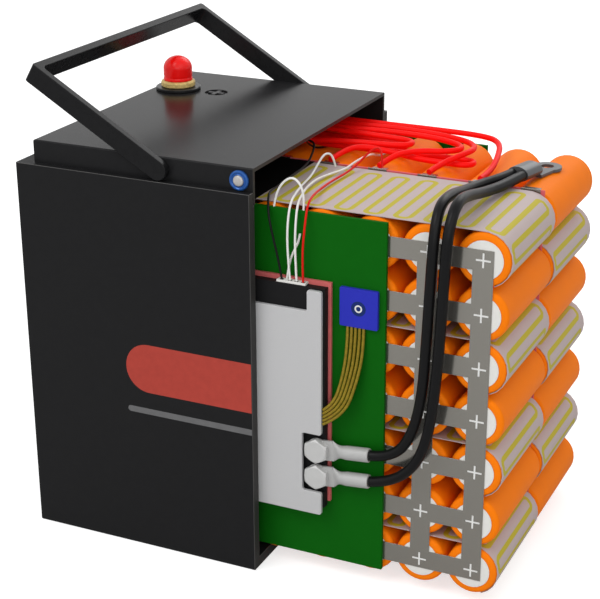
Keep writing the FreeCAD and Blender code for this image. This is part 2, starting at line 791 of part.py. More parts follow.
def make_guard_bolts():
    body = start_body("guard_bolts")
    radius = "(bolt_head_width / 2 / cos(30 deg))"
    for depth, reverse in (("bolt_head_height", False), ("lug_thickness + bolt_depth", True)):
        sketch = start_sketch(body, "XZ_Plane")
        for centre in ("bolt_top", "bolt_top - bolt_spacing"):
            if reverse:
                draw_circle(sketch, "bolt_column", centre, "bolt_shank")
            else:
                draw_polygon(sketch, 6, "bolt_column", centre, radius, start=30)
        pad(body, sketch, depth, reverse=reverse)
    place(body, "0", RECESS_FLOOR + " - lug_thickness", "0")
    return body


# Cable lugs: a flat eye and a round barrel, turned a little about the bolt
def make_guard_lug(label, height):
    body = start_body(label)
    sketch = start_sketch(body, "XZ_Plane")
    draw_circle(sketch, "0", "0", "lug_diameter")
    draw_circle(sketch, "0", "0", "lug_hole")
    pad(body, sketch, "lug_thickness")
    root = "(lug_hole / 2 + 1)"
    neck = "(lug_reach - lug_barrel_length + 1)"
    half = "(lug_strap_width / 2)"
    barrel_half = "(lug_barrel / 2)"
    tongue = start_sketch(body, "XZ_Plane")
    draw_outline(tongue, [
        (root, "-(" + half + " - lug_strap_ease)"), ("lug_strap - lug_strap_run", "-" + half),
        ("lug_strap", "-" + half), (neck, "-" + barrel_half), (neck, barrel_half), ("lug_strap", half),
        ("lug_strap - lug_strap_run", half), (root, half + " - lug_strap_ease")])
    pad(body, tongue, "lug_thickness")
    barrel = start_sketch(body, "YZ_Plane", "lug_reach - lug_barrel_length")
    draw_circle(barrel, "-lug_thickness / 2", "0", "lug_barrel")
    pad(body, barrel, "lug_barrel_length")
    body.Placement = FreeCAD.Placement(Vector(0, 0, 0), Rotation(Vector(0, -1, 0), value("lug_tilt")))
    place(body, "bolt_column", RECESS_FLOOR, height)
    bind(body, "Placement.Rotation.Angle", "lug_tilt * 1 deg")
    return body


def make_guard_lugs():
    pair = doc.addObject("Part::Compound", "guard_lugs")
    pair.Label = "guard_lugs"
    pair.Links = [make_guard_lug("upper_lug", "bolt_top"),
                  make_guard_lug("lower_lug", "bolt_top - bolt_spacing")]
    return pair


def make_radio_module():
    body = start_body("radio_module")
    sketch = start_sketch(body, "XZ_Plane")
    draw_rectangle(sketch, "module_left", "module_left + module_width", "module_foot",
                   "module_foot + module_width")
    pad(body, sketch, "module_thickness")
    fillet(body, lambda edge: is_along(edge, Vector(0, 1, 0)), "module_corner")
    place(body, "0", BOARD_FRONT, "0")
    return body


# Outlet lug: a ring tongue with an oval barrel that takes two cables
def make_outlet_lug():
    body = start_body("outlet_lug")
    sketch = start_sketch(body, "XY_Plane")
    draw_circle(sketch, "0", "0", "outlet_diameter")
    draw_circle(sketch, "0", "0", "outlet_hole")
    pad(body, sketch, "outlet_thickness")
    root = "(-(outlet_hole / 2 + 1))"
    neck = "(-(outlet_reach - outlet_barrel_length + 1))"
    tongue = start_sketch(body, "XY_Plane")
    side = "(outlet_barrel_width / 2)"
    draw_outline(tongue, [("-" + side, root), (side, root), (side, neck), ("-" + side, neck)])
    pad(body, tongue, "outlet_thickness")
    barrel = start_sketch(body, "XZ_Plane", "outlet_reach - outlet_barrel_length")
    ring = []
    for index in range(16):
        turn = "(%g deg)" % (22.5 * index)
        ring.append(("outlet_barrel_width / 2 * cos" + turn,
                     "outlet_barrel_height / 2 * (1 + sin" + turn + ")"))
    draw_outline(barrel, ring)
    pad(body, barrel, "outlet_barrel_length")
    body.Placement = FreeCAD.Placement(Vector(0, 0, 0), Rotation(Vector(0, 0, -1), value("outlet_turn")))
    place(body, "outlet_hole_x", "outlet_hole_y", CREST_Z + " + outlet_lift")
    bind(body, "Placement.Rotation.Angle", "outlet_turn * 1 deg")
    return body


# Routes of the cords, as drawn at the sizes above
ROUTES = {
    "cable_upper": ("power_wire", [
        (122.7, -75.3, 73.45), (132.5, -75.5, 74.7), (142.5, -76, 85), (148.3, -76, 107), (149.9, -76, 138),
        (151, -76, 167), (152.3, -76.5, 191), (151.5, -68, 201.5), (150, -50, 201), (149, -28, 196.5),
        (151.5, -12, 195.2), (157.5, 1, 195.3), (160.2, 11.3, 195.45)]),
    "cable_lower": ("power_wire", [
        (122.8, -75.3, 59.35), (134.5, -75.8, 62), (147, -76.3, 74.5), (153.3, -76.5, 93),
        (156.3, -76.3, 120), (157.8, -76, 150), (158.9, -76.3, 177), (160.5, -76.3, 194),
        (160.5, -67, 203.5), (158.5, -48, 201), (158.5, -28, 196.5), (162.5, -9, 195.3),
        (165.6, 9.9, 195.45)]),
    "red_wire_1": ("charge_wire", [
        (-30.0, 54, 202.7), (-10, 55, 202.7), (20, 57, 200.5), (51, 58, 199), (97, 59, 199),
        (131, 58, 199), (141, 51, 198), (146, 30, 196), (147.5, 15, 193.6), (146.6, 2.3, 193.35)]),
    "red_wire_2": ("charge_wire", [
        (-30.0, 49.6, 202.7), (-10, 50, 202), (20, 50.5, 200), (54, 50.5, 199), (82, 54, 198.8),
        (107, 52, 198.5), (125, 47, 198.2), (133, 36, 198.2), (130, 22.5, 198.2), (122, 12, 195),
        (119.9, 2.3, 193.35)]),
    "red_wire_3": ("charge_wire", [
        (-30.0, 45.2, 202.7), (-10, 45.4, 202.2), (20, 43.8, 200.4), (54, 42, 199), (72, 46, 198.6),
        (99, 47, 198.4), (118, 43, 198), (127, 35, 197.8), (121, 27, 197.5), (107, 24, 197.2),
        (99, 15.5, 197), (94.5, 8, 194.6), (93.4, 2.3, 193.35)]),
    "red_wire_4": ("charge_wire", [
        (-30.0, 32, 202.7), (-8, 32.5, 201.8), (14, 33, 200), (34, 33, 197.6), (52, 33, 194),
        (70, 32.3, 193.4), (101, 30, 193.4), (121, 30, 193.4), (135, 26.5, 193.4), (134, 20.5, 193.4),
        (120, 20.5, 193.4), (105, 21, 193.4), (88, 19.5, 193.4), (74, 13, 193.4), (66.7, 2.3, 193.35)]),
    "red_wire_5": ("charge_wire", [
        (-30.0, 36.4, 202.7), (-8, 37, 202), (18, 38.5, 200), (50, 39, 198.4), (85, 38.5, 197.8),
        (99, 36, 197.6), (98, 28.5, 197.5), (84, 27, 197.2), (60, 22.5, 196.9), (46, 13, 195),
        (40.1, 2.3, 193.35)]),
    "red_wire_6": ("charge_wire", [
        (-30.0, 40.8, 202.7), (-8, 41, 200), (18, 43.5, 195.8), (42, 44.5, 193.5), (80, 44.2, 193.4),
        (92.5, 43, 193.4), (92, 37.5, 193.4), (78, 37.5, 193.4), (50, 37.4, 193.4), (31, 36, 193.4),
        (19, 28, 193.4), (14.5, 14, 193.4), (13.5, 2.3, 193.35)]),
    "sense_black": ("sense_wire", [
        (76.1, -75, 159.2), (74, -75, 168), (71.6, -75, 177), (69.2, -74.5, 188), (67, -68, 195.5),
        (66, -60, 195), (63.6, -46, 193.2), (60.2, -24, 193.2), (58.2, -6, 193.6), (55, 4, 193.6),
        (51.5, 13, 192.4), (48.5, 22, 190.6), (47.6, 30, 190.3), (48.5, 42, 189.9), (51.5, 56, 187.6),
        (53.3, 69.2, 186.6)]),
    "sense_white_1": ("sense_wire", [
        (80.4, -75, 159.2), (79.3, -75.3, 170), (79.2, -75.2, 183), (79, -71.5, 194), (76.5, -58, 195.5),
        (71.2, -40, 193.2), (69.4, -26, 193.2), (68, -15, 196.5), (68.6, -8.5, 201.4), (70.4, -4.3, 200.8),
        (71.4, -2.2, 196.8), (71.2, -1.3, 193.4)]),
    "sense_white_2": ("sense_wire", [
        (83.8, -75, 159.2), (83.2, -75.3, 170), (83.2, -75, 183), (82.5, -71, 193.5), (80, -60, 195),
        (75, -44, 193.2), (74, -30, 193.2), (77, -19, 193.3), (80.6, -10.5, 193.6), (81.5, 0, 194.2),
        (81.3, 9, 196), (81, 16.5, 196.8), (80.6, 22.5, 194.5), (80, 30, 190.5), (79.9, 42, 187),
        (79.9, 69.2, 186.6)]),
    "sense_red": ("sense_wire", [
        (87.2, -75, 159.2), (86.8, -75.3, 170), (88, -75, 184), (87.6, -71, 193.5), (85.6, -61, 195),
        (82.4, -45, 193.3), (81.9, -30, 193.2), (83.4, -15, 193.4), (84.6, -3, 196), (85, 2.5, 200),
        (86.8, 6.6, 202.4), (90.6, 7.4, 202), (92.2, 5, 198.8), (91.0, 2.2, 192.6)]),
    "sense_loop": ("sense_wire", [
        (69.8, -69.7, 190.4), (70.6, -69.7, 195.5), (74, -69.9, 202.4), (79.6, -70, 206.2),
        (84, -69.9, 202.6), (85.4, -69.7, 196), (85.1, -69.7, 190.4)]),
    "sense_short": ("sense_wire", [
        (78.2, -73.6, 159.2), (79.2, -73.4, 165), (82, -73, 172), (83.7, -72.2, 175.6),
        (84.1, -71.6, 179.4)]),
}

# Where the routes' anchors stand at the sizes above, and where they stand now
ANCHORS_Y = [(-76.6, GUARD_FACE), (-70.7, BOARD_FRONT), (-67.8, CELL_FRONT), (0.3, SEPARATOR_FRONT),
             (69.4, REAR_STRIP)]
ANCHORS_Z = [(42.3, "guard_foot"), (158.9, "guard_foot + guard_height - guard_edge + socket_height"),
             (191.35, CREST_Z)]
ANCHORS_X = [(-39.8, FIRST_X), (173.0, LAST_X)]


def follow(number, anchors):
    """Move a coordinate with the anchors on both sides of it."""
    drawn = [place_then for place_then, text in anchors]
    now = [value(text) for place_then, text in anchors]
    if number <= drawn[0]:
        return number + now[0] - drawn[0]
    if number >= drawn[-1]:
        return number + now[-1] - drawn[-1]
    for index in range(len(drawn) - 1):
        if number <= drawn[index + 1]:
            part = (number - drawn[index]) / (drawn[index + 1] - drawn[index])
            return now[index] + part * (now[index + 1] - now[index])


def follow_point(point):
    """A route point carried by the pieces near it."""
    x, y, z = point
    share = min(max((y + 70.0) / 70.0, 0.0), 1.0)
    grid_x = follow(x, ANCHORS_X)
    return Vector(x + share * (grid_x - x), follow(y, ANCHORS_Y), follow(z, ANCHORS_Z))


# Cords are swept with an eight-sided ring
CORD_SIDES = 8


def ring_of(place, direction, diameter):
    """An eight-sided ring with the area of a circle, to keep facets few."""
    step = 2 * math.pi / CORD_SIDES
    radius = diameter / 2 * math.sqrt(step / math.sin(step))
    circle = Part.Circle(place, direction, radius)
    corners = [circle.value(step * index) for index in range(CORD_SIDES)]
    return Part.makePolygon(corners + corners[:1])


def tube(points, diameter):
    """Straight runs joined by arcs that touch both, swept with a ring."""
    edges = []
    start = points[0]
    smallest = 1e9
    for before, corner, after in zip(points, points[1:], points[2:]):
        incoming = corner.sub(before)
        outgoing = after.sub(corner)
        first = incoming.Length
        second = outgoing.Length
        incoming.normalize()
        outgoing.normalize()
        turn = incoming.getAngle(outgoing)
        cut = 0.45 * min(first, second)
        radius = cut / math.tan(turn / 2)
        smallest = min(smallest, radius)
        entry = corner.sub(Vector(incoming).multiply(cut))
        leave = corner.add(Vector(outgoing).multiply(cut))
        inward = outgoing.sub(incoming).normalize()
        centre = corner.add(Vector(inward).multiply(radius / math.cos(turn / 2)))
        middle = centre.sub(Vector(inward).multiply(radius))
        edges.append(Part.LineSegment(start, entry).toShape())
        edges.append(Part.Arc(entry, middle, leave).toShape())
        start = leave
    edges.append(Part.LineSegment(start, points[-1]).toShape())
    spine = Part.Wire(edges)
    ring = ring_of(points[0], points[1].sub(points[0]), diameter)
    solid = spine.makePipeShell([ring], True, False)
    expected = math.pi * diameter * diameter / 4 * spine.Length
    if abs(solid.Volume - expected) > 0.01 * expected:
        raise RuntimeError("a cord's volume is wrong")
    return solid, smallest, spine.Length


def make_cord(label):
    size, route = ROUTES[label]
    diameter = value(size)
    solid, smallest, length = tube([follow_point(point) for point in route], diameter)
    print("%s: smallest radius %.1f, diameter %.1f, length %.0f" % (label, smallest, diameter, length))
    cord = doc.addObject("Part::Feature", label)
    cord.Label = label
    cord.Shape = solid
    cord.Placement = FreeCAD.Placement()
    return cord


# Each lead leaves the module, sags forward and fans out: for each of its points, the step right
# of the module's first contact, the share of the spacing, the step forward and the step down
LEAD_ROUTE = [(0.0, 1.0, 0.0, 0.1), (0.2, 1.0, 0.8, 12.0), (-1.6, 0.93, 2.6, 27.0)]
LEAD_COUNT = 5


def make_module_leads():
    """Stiff leads that fan from the module to the guard body."""
    leads = doc.addObject("Part::Feature", "module_leads")
    leads.Label = "module_leads"
    diameter = value("lead_wire")
    spacing = value("lead_spacing")
    top = value("module_foot")
    left = value("module_left + lead_inset")
    face = value(BOARD_FRONT + " - module_thickness / 2")
    end = value(PLATE_RIGHT + " + lead_gap")
    front = value(GUARD_FACE) - diameter / 2 - value("lead_lift")
    low = value("bolt_top + lead_rise")
    solids = []
    for index in range(LEAD_COUNT):
        shift = index * spacing
        points = [Vector(left + right + shift * share, face - forward, top - down)
                  for right, share, forward, down in LEAD_ROUTE]
        points.append(Vector(left - value("lead_turn") + shift * 0.66, front,
                             low + value("lead_drop") - shift * 0.65))
        points.append(Vector(end, front, low - shift * 0.92))
        solids.append(tube(points, diameter)[0])
    leads.Shape = Part.makeCompound(solids)
    leads.Placement = FreeCAD.Placement()
    return leads


pieces = [
    make_case(), make_lid(), make_handle(), make_handle_pins(), make_terminal_washer(),
    make_terminal_post(), make_terminal_nuts(), make_positive_bar(), make_terminal_cap(),
    make_button_bezel(), make_button_plunger(), make_button_nut()]
for level in range(int(value("cell_rows"))):
    pieces.append(make_cell_row("front_cells_row_%d" % (level + 1), CELL_FRONT, level))
    pieces.append(make_cell_row("back_cells_row_%d" % (level + 1), BACK_CELLS, level))
pieces += [
    make_insulator_rings(), make_lattice("front_nickel_lattice", STRIP_FRONT),
    make_lattice("back_nickel_lattice", REAR_STRIP),
    make_inner_strips("inner_front_strips", INNER_STRIP, False),
    make_inner_strips("inner_back_strips", BACK_STRIP, True),
    make_box("block_separator", FIRST_X + " - cell_diameter / 2", LAST_X + " + separator_reach",
             SEPARATOR_FRONT, SEPARATOR_FRONT + " + separator_thickness", "case_wall + pack_floor_gap",
             SEPARATOR_TOP),
    make_films("front_heating_films", CELL_FRONT, 0, "floor((cell_rows + 1) / 2)"),
    make_films("back_heating_films", BACK_CELLS, 1, "floor(cell_rows / 2)"),
    make_box("front_board", "board_right - board_width", "board_right", BOARD_FRONT,
             BOARD_FRONT + " + board_thickness", "board_foot", "board_foot + board_height"),
    make_box("back_board", "board_right - board_width", "board_right", BACK_BOARD,
             BACK_BOARD + " + board_thickness", "board_foot", "board_foot + board_height"),
    make_guard_board(), make_guard_body(), make_heat_plate(),
    make_box("guard_socket", "socket_left", "socket_left + socket_width",
             GUARD_BACK + " - guard_board - socket_depth", GUARD_BACK + " - guard_board",
             "guard_foot + guard_height - guard_edge",
             "guard_foot + guard_height - guard_edge + socket_height"),
    make_guard_bolts(), make_guard_lugs(), make_radio_module(), make_outlet_lug(), make_module_leads()]
pieces += [make_cord(label) for label in ROUTES]

doc.recompute()
for thing in doc.Objects:
    if "Invalid" in thing.State or "Error" in thing.State:
        raise RuntimeError(thing.Label + " did not compute")
os.makedirs("parts", exist_ok=True)
for piece in pieces:
    shape = piece.Shape
    if shape.isNull() or not shape.isValid() or not shape.Solids:
        raise RuntimeError(piece.Label + " has no valid shape")
for piece in pieces:
    piece.Shape.exportStep("parts/" + piece.Label + ".step")
print("%d pieces written" % len(pieces))
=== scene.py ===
# %% [markdown]
# A lithium iron phosphate battery, cut open like a trade-show model. The left half is still in
# its black case with a lid, a bail handle, a capped post and a push button. The right half shows
# two blocks of orange cells, welded nickel sheets, heating films, boards, cables and wires.
# The solids come packed from the construction model. This script gives them their looks: every
# piece is placed in the same frame, in metres, with +Z up and -Y towards the viewer.

# %% Load the frame
import bpy
import math
from mathutils import Matrix, Vector


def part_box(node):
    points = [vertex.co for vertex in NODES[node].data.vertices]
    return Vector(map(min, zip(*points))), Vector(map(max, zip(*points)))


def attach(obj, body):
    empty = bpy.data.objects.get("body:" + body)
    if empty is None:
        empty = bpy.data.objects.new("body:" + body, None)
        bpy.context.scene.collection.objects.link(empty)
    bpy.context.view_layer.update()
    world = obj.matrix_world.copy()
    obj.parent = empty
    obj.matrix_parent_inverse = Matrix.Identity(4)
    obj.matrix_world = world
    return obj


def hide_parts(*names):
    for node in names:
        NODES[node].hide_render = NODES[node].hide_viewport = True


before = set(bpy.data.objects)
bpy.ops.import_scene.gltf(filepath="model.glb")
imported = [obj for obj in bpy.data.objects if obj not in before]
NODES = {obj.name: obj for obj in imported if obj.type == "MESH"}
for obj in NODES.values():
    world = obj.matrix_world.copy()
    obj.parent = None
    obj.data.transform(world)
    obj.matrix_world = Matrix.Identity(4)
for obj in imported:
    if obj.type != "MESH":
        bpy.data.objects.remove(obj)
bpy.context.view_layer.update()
bpy.ops.object.select_all(action="DESELECT")
MM = 0.001
print("solids loaded:", len(NODES))

# %% [markdown]
# The camera comes first, because every later choice is judged through it. A product photograph
# like this one is taken from a little above, with a long lens that keeps edges nearly parallel.
# The direction is written as a vector, and the small shifts put the object where the photograph
# has it in the frame.

# %% Camera
CAMERA_PLACE = Vector((0.37622, -0.69250, 0.41729))
CAMERA_FORWARD = Vector((-0.378976, 0.849664, -0.366673)).normalized()
CAMERA_LENS = 93.34
CAMERA_SHIFT = (-0.0493, -0.0017)
CAMERA_ROLL = 0.0033

camera_data = bpy.data.cameras.new("photo_camera")
camera_data.lens = CAMERA_LENS
camera_data.sensor_width = 36.0
camera_data.sensor_fit = "HORIZONTAL"
camera_data.shift_x = CAMERA_SHIFT[0]
camera_data.shift_y = CAMERA_SHIFT[1]
camera = bpy.data.objects.new("photo_camera", camera_data)
bpy.context.scene.collection.objects.link(camera)
level_side = CAMERA_FORWARD.cross(Vector((0, 0, 1))).normalized()
level_up = level_side.cross(CAMERA_FORWARD)
side = level_side * math.cos(CAMERA_ROLL) + level_up * math.sin(CAMERA_ROLL)
upward = level_up * math.cos(CAMERA_ROLL) - level_side * math.sin(CAMERA_ROLL)
turn = Matrix((side, upward, -CAMERA_FORWARD)).transposed()
camera.matrix_world = Matrix.Translation(CAMERA_PLACE) @ turn.to_4x4()
bpy.context.scene.camera = camera
bpy.context.scene.view_settings.view_transform = "Standard"
print("camera distance to the case:", round(CAMERA_PLACE.length, 3))

# %% [markdown]
# Studio light is soft: a large lamp above and to the left gives the lid its sheen, one fills the
# cut side, one stands behind and a low one lights the boards from the front. An even grey world
# keeps shadows open. The lamps stay weak enough for a colour to render about as it is written.
# The background is white only for the camera and for reflections, which keeps extra light off
# the battery.

# %% Lamps and world


def add_lamp(name, place, target, size, power):
    """A square area lamp that faces a target."""
    data = bpy.data.lights.new(name, "AREA")
    data.size = size
    data.energy = power
    lamp = bpy.data.objects.new(name, data)
    lamp.location = place
    aim = Vector(target) - Vector(place)
    lamp.rotation_euler = aim.to_track_quat("-Z", "Y").to_euler()
    bpy.context.scene.collection.objects.link(lamp)


def number_node(tree, operation, first, second=None):
    """A Math node; its inputs are numbers or the outputs of other nodes."""
    node = tree.nodes.new("ShaderNodeMath")
    node.operation = operation
    for index, thing in enumerate((first, second)):
        if thing is None:
            continue
        if isinstance(thing, (int, float)):
            node.inputs[index].default_value = thing
        else:
            tree.links.new(thing, node.inputs[index])
    return node.outputs[0]


CENTRE = (0.06, 0, 0.1)
AMBIENT = 0.62
add_lamp("key_lamp", (-0.5, -1.1, 1.5), CENTRE, 1.0, 12)
add_lamp("fill_lamp", (1.4, -0.9, 1.3), CENTRE, 1.2, 4)
add_lamp("back_lamp", (0.2, 1.5, 1.3), CENTRE, 1.0, 7)
add_lamp("front_lamp", (0.7, -1.6, 0.6), CENTRE, 1.2, 4.5)

world = bpy.data.worlds.new("studio")
bpy.context.scene.world = world
world.use_nodes = True
tree = world.node_tree
tree.nodes.clear()
path = tree.nodes.new("ShaderNodeLightPath")
seen = number_node(tree, "MAXIMUM", path.outputs["Is Camera Ray"],
                   path.outputs["Is Transmission Ray"])
mirrored = number_node(tree, "MAXIMUM", seen, path.outputs["Is Glossy Ray"])
ambient = tree.nodes.new("ShaderNodeBackground")
ambient.inputs["Color"].default_value = (1, 1, 1, 1)
ambient.inputs["Strength"].default_value = AMBIENT
backdrop = tree.nodes.new("ShaderNodeBackground")
backdrop.inputs["Color"].default_value = (1, 1, 1, 1)
backdrop.inputs["Strength"].default_value = 1.0
choose = tree.nodes.new("ShaderNodeMixShader")
tree.links.new(mirrored, choose.inputs["Fac"])
tree.links.new(ambient.outputs[0], choose.inputs[1])
tree.links.new(backdrop.outputs[0], choose.inputs[2])
out = tree.nodes.new("ShaderNodeOutputWorld")
tree.links.new(choose.outputs[0], out.inputs["Surface"])

# %% [markdown]
# The floor is a plain pale sheet. It needs a size and a matt white material, and a little of its
# own light for camera rays, so that it runs into the white background and still keeps the
# battery's soft shadow.

# %% Floor
bpy.ops.mesh.primitive_plane_add(size=8, location=(0, 0, -0.0002))
floor = bpy.context.object
floor.name = "studio_floor"
paper = bpy.data.materials.new("floor_paper")
paper.use_nodes = True
tree = paper.node_tree
surface = tree.nodes["Principled BSDF"]
surface.inputs["Base Color"].default_value = (0.62, 0.62, 0.62, 1)
surface.inputs["Roughness"].default_value = 0.8
surface.inputs["Specular IOR Level"].default_value = 0.1
path = tree.nodes.new("ShaderNodeLightPath")
FLOOR_GLOW = 0.66
glow = number_node(tree, "MULTIPLY", path.outputs["Is Camera Ray"], FLOOR_GLOW)
surface.inputs["Emission Color"].default_value = (1, 1, 1, 1)
tree.links.new(glow, surface.inputs["Emission Strength"])
floor.data.materials.append(paper)
bpy.ops.object.select_all(action="DESELECT")

# %% [markdown]
# Most surfaces here are moulded plastic, sheet metal or shrunk film. None is one flat colour:
# each has a faint mottle, a small change of gloss and a fine texture. One shared node group works
# out that mottle from the piece's own coordinates, so it never slides. Its Stretch input pulls
# the pattern out along an axis, which turns mottle into the brushing of rolled metal.

# %% Shared surface group
BROAD_SHARE = 0.12


def make_mottle_group():
    group = bpy.data.node_groups.new("mottle", "ShaderNodeTree")
    face = group.interface
    scale = face.new_socket("Scale", in_out="INPUT", socket_type="NodeSocketFloat")
    scale.default_value = 300.0
    stretch = face.new_socket("Stretch", in_out="INPUT", socket_type="NodeSocketVector")
    stretch.default_value = (1, 1, 1)
    face.new_socket("Shade", in_out="OUTPUT", socket_type="NodeSocketFloat")
    face.new_socket("Grain", in_out="OUTPUT", socket_type="NodeSocketFloat")
    entry = group.nodes.new("NodeGroupInput")
    exit_node = group.nodes.new("NodeGroupOutput")
    where = group.nodes.new("ShaderNodeTexCoord")
    pull = group.nodes.new("ShaderNodeVectorMath")
    pull.operation = "MULTIPLY"
    group.links.new(where.outputs["Object"], pull.inputs[0])
    group.links.new(entry.outputs["Stretch"], pull.inputs[1])
    broad = group.nodes.new("ShaderNodeTexNoise")
    broad.inputs["Detail"].default_value = 3
    group.links.new(pull.outputs[0], broad.inputs["Vector"])
    small = number_node(group, "MULTIPLY", entry.outputs["Scale"], BROAD_SHARE)
    group.links.new(small, broad.inputs["Scale"])
    fine = group.nodes.new("ShaderNodeTexNoise")
    fine.inputs["Detail"].default_value = 2
    group.links.new(pull.outputs[0], fine.inputs["Vector"])
    group.links.new(entry.outputs["Scale"], fine.inputs["Scale"])
    group.links.new(broad.outputs["Fac"], exit_node.inputs["Shade"])
    group.links.new(fine.outputs["Fac"], exit_node.inputs["Grain"])
    return group


MOTTLE = make_mottle_group()


def linear(red, green, blue):
    """The scene's linear colour for red, green and blue as a paint chart gives them, 0 to 255."""
    out = []
    for part in (red, green, blue):
        share = part / 255
        out.append(share / 12.92 if share <= 0.04045 else ((share + 0.055) / 1.055) ** 2.4)
    return tuple(out) + (1,)


def finish(name, colour, roughness, spread=0.10, contrast=0.12, metallic=0.0, grain=900.0,
           bump=0.06, stretch=(1, 1, 1), specular=0.5):
    """A material whose colour, gloss and surface vary a little over the piece."""
    material = bpy.data.materials.new(name)
    material.use_nodes = True
    tree = material.node_tree
    shader = tree.nodes["Principled BSDF"]
    mottle = tree.nodes.new("ShaderNodeGroup")
    mottle.node_tree = MOTTLE
    mottle.inputs["Scale"].default_value = grain
    mottle.inputs["Stretch"].default_value = stretch
    blend = tree.nodes.new("ShaderNodeMix")
    blend.data_type = "RGBA"
    blend.name = "tone"
    dark = tuple(part * (1 - contrast) for part in colour[:3]) + (1,)
    light = tuple(min(part * (1 + contrast), 1) for part in colour[:3]) + (1,)
    blend.inputs["A"].default_value = dark
    blend.inputs["B"].default_value = light
    tree.links.new(mottle.outputs["Shade"], blend.inputs["Factor"])
    tree.links.new(blend.outputs["Result"], shader.inputs["Base Color"])
    gloss = tree.nodes.new("ShaderNodeMapRange")
    gloss.inputs["To Min"].default_value = max(roughness - spread / 2, 0.02)
    gloss.inputs["To Max"].default_value = min(roughness + spread / 2, 1.0)
    tree.links.new(mottle.outputs["Shade"], gloss.inputs["Value"])
    tree.links.new(gloss.outputs["Result"], shader.inputs["Roughness"])
    relief = tree.nodes.new("ShaderNodeBump")
    relief.inputs["Strength"].default_value = bump
    relief.inputs["Distance"].default_value = 0.0004
    tree.links.new(mottle.outputs["Grain"], relief.inputs["Height"])
    tree.links.new(relief.outputs["Normal"], shader.inputs["Normal"])
    shader.inputs["Metallic"].default_value = metallic
    shader.inputs["Specular IOR Level"].default_value = specular
    return material


# %% [markdown]
# The finishes are named for what they are on a real battery, but for one painted highlight: a
# paler black on the rounded edges of case and lid. Black parts are moulded in one plastic with
# slightly different gloss; the cells wear an orange shrink wrap; the welded sheets are smooth
# rolled nickel that mirrors the cables in front of it. Each line gives a colour as it should look
# in plain light.

# %% Finishes
CASE_BLACK = finish("case_black", linear(29, 29, 30), 0.46, grain=2600, bump=0.06, specular=0.09)
LID_BLACK = finish("lid_black", linear(32, 32, 33), 0.22, grain=2200, bump=0.02, spread=0.05,
                   specular=0.07)
# A paler black for the rounded edges of case and lid: a painted highlight where light catches them.
EDGE_HIGHLIGHT_BLACK = finish("edge_highlight_black", linear(72, 71, 70), 0.30, grain=2400, bump=0.02, specular=0.25)
HANDLE_BLACK = finish("handle_black", linear(28, 28, 29), 0.28, grain=2400, bump=0.03,
                      specular=0.08)
WASHER_RUBBER = finish("washer_rubber", linear(27, 27, 28), 0.30, grain=3000, bump=0.06,
                       specular=0.30)
CAP_RED = finish("cap_red", linear(255, 12, 8), 0.26, contrast=0.05, grain=900, bump=0.02,
                 specular=0.3)
BRASS = finish("turned_brass", linear(206, 178, 110), 0.44, contrast=0.55, metallic=0.3,
               grain=5200, bump=0.35)
ZINC = finish("zinc_plated_steel", linear(205, 208, 210), 0.34, metallic=0.9, grain=1500)
COPPER = finish("bare_copper", linear(190, 112, 76), 0.36, metallic=1.0, grain=1400,
                stretch=(1, 12, 1))
BEZEL_BLUE = finish("bezel_blue", linear(32, 84, 156), 0.24, metallic=0.3, grain=1600, spread=0.05,
                    specular=0.4)
PLUNGER_SILVER = finish("plunger_silver", linear(184, 181, 178), 0.42, contrast=0.30,
                        metallic=0.3, grain=3600)
CELL_ORANGE = finish("cell_orange", linear(250, 126, 10), 0.50, contrast=0.05, grain=500,
                     bump=0.03, specular=0.06)
INSULATOR_WHITE = finish("insulator_white", linear(226, 225, 221), 0.62, contrast=0.03,
                         grain=2600, specular=0.15)
NICKEL = finish("rolled_nickel", linear(150, 147, 140), 0.15, contrast=0.05, metallic=0.8,
                grain=2200, stretch=(1, 1, 8), spread=0.04, bump=0.01, specular=0.2)
WELD_BRIGHT = finish("weld_bright", linear(226, 226, 224), 0.5, grain=4000, contrast=0.04,
                     specular=0.2)
SEPARATOR_PINK = finish("separator_pink", linear(218, 100, 108), 0.55, grain=900, specular=0.15)
BOARD_GREEN = finish("board_green", linear(12, 92, 14), 0.5, contrast=0.05, grain=1500,
                     bump=0.03, spread=0.06, specular=0.04)
BOARD_SALMON = finish("board_salmon", linear(204, 103, 101), 0.55, grain=2400, specular=0.12)
GUARD_BLACK = finish("guard_black", linear(26, 26, 27), 0.48, grain=2600, bump=0.08,
                     specular=0.08)
PLATE_ALUMINIUM = finish("plate_aluminium", linear(192, 192, 193), 0.5, contrast=0.03,
                         metallic=0.1, grain=1800, stretch=(1, 1, 14), bump=0.04, specular=0.2)
SOCKET_WHITE = finish("socket_white", linear(222, 221, 217), 0.5, contrast=0.04, specular=0.2)
TINNED = finish("tinned_copper", linear(196, 196, 195), 0.45, contrast=0.06, metallic=0.15,
                grain=1500, specular=0.25)
LUG_TIN = finish("lug_tin", linear(178, 178, 177), 0.5, contrast=0.06, metallic=0.15,
                 grain=1500, specular=0.15)
LUG_GREY = finish("plated_lug", linear(92, 93, 95), 0.34, contrast=0.12, metallic=0.4,
                  grain=1600, specular=0.3)
MODULE_BLUE = finish("module_blue", linear(44, 50, 178), 0.5, contrast=0.04, grain=1800,
                     specular=0.10)
MODULE_DARK = finish("module_dark", linear(24, 44, 104), 0.45, grain=1800, specular=0.12)
LEAD_GOLD = finish("lead_gold", linear(140, 119, 30), 0.45, contrast=0.45, metallic=0.2,
                   grain=4600, bump=0.4, specular=0.25)
CABLE_BLACK = finish("cable_black", linear(17, 17, 18), 0.34, contrast=0.08, grain=1400,
                     bump=0.04, specular=0.14)
CABLE_RED = finish("cable_red", linear(250, 14, 10), 0.42, contrast=0.05, grain=900, bump=0.03,
                   specular=0.12)
SENSE_RED = finish("sense_red", linear(214, 26, 16), 0.42, contrast=0.05, grain=900,
                   bump=0.03, specular=0.12)
CABLE_WHITE = finish("cable_white", linear(232, 231, 228), 0.42, contrast=0.03, grain=900,
                     specular=0.2)
STRIPE_SALMON = finish("stripe_salmon", linear(172, 66, 56), 0.5, grain=2600, bump=0.06,
                       specular=0.10)
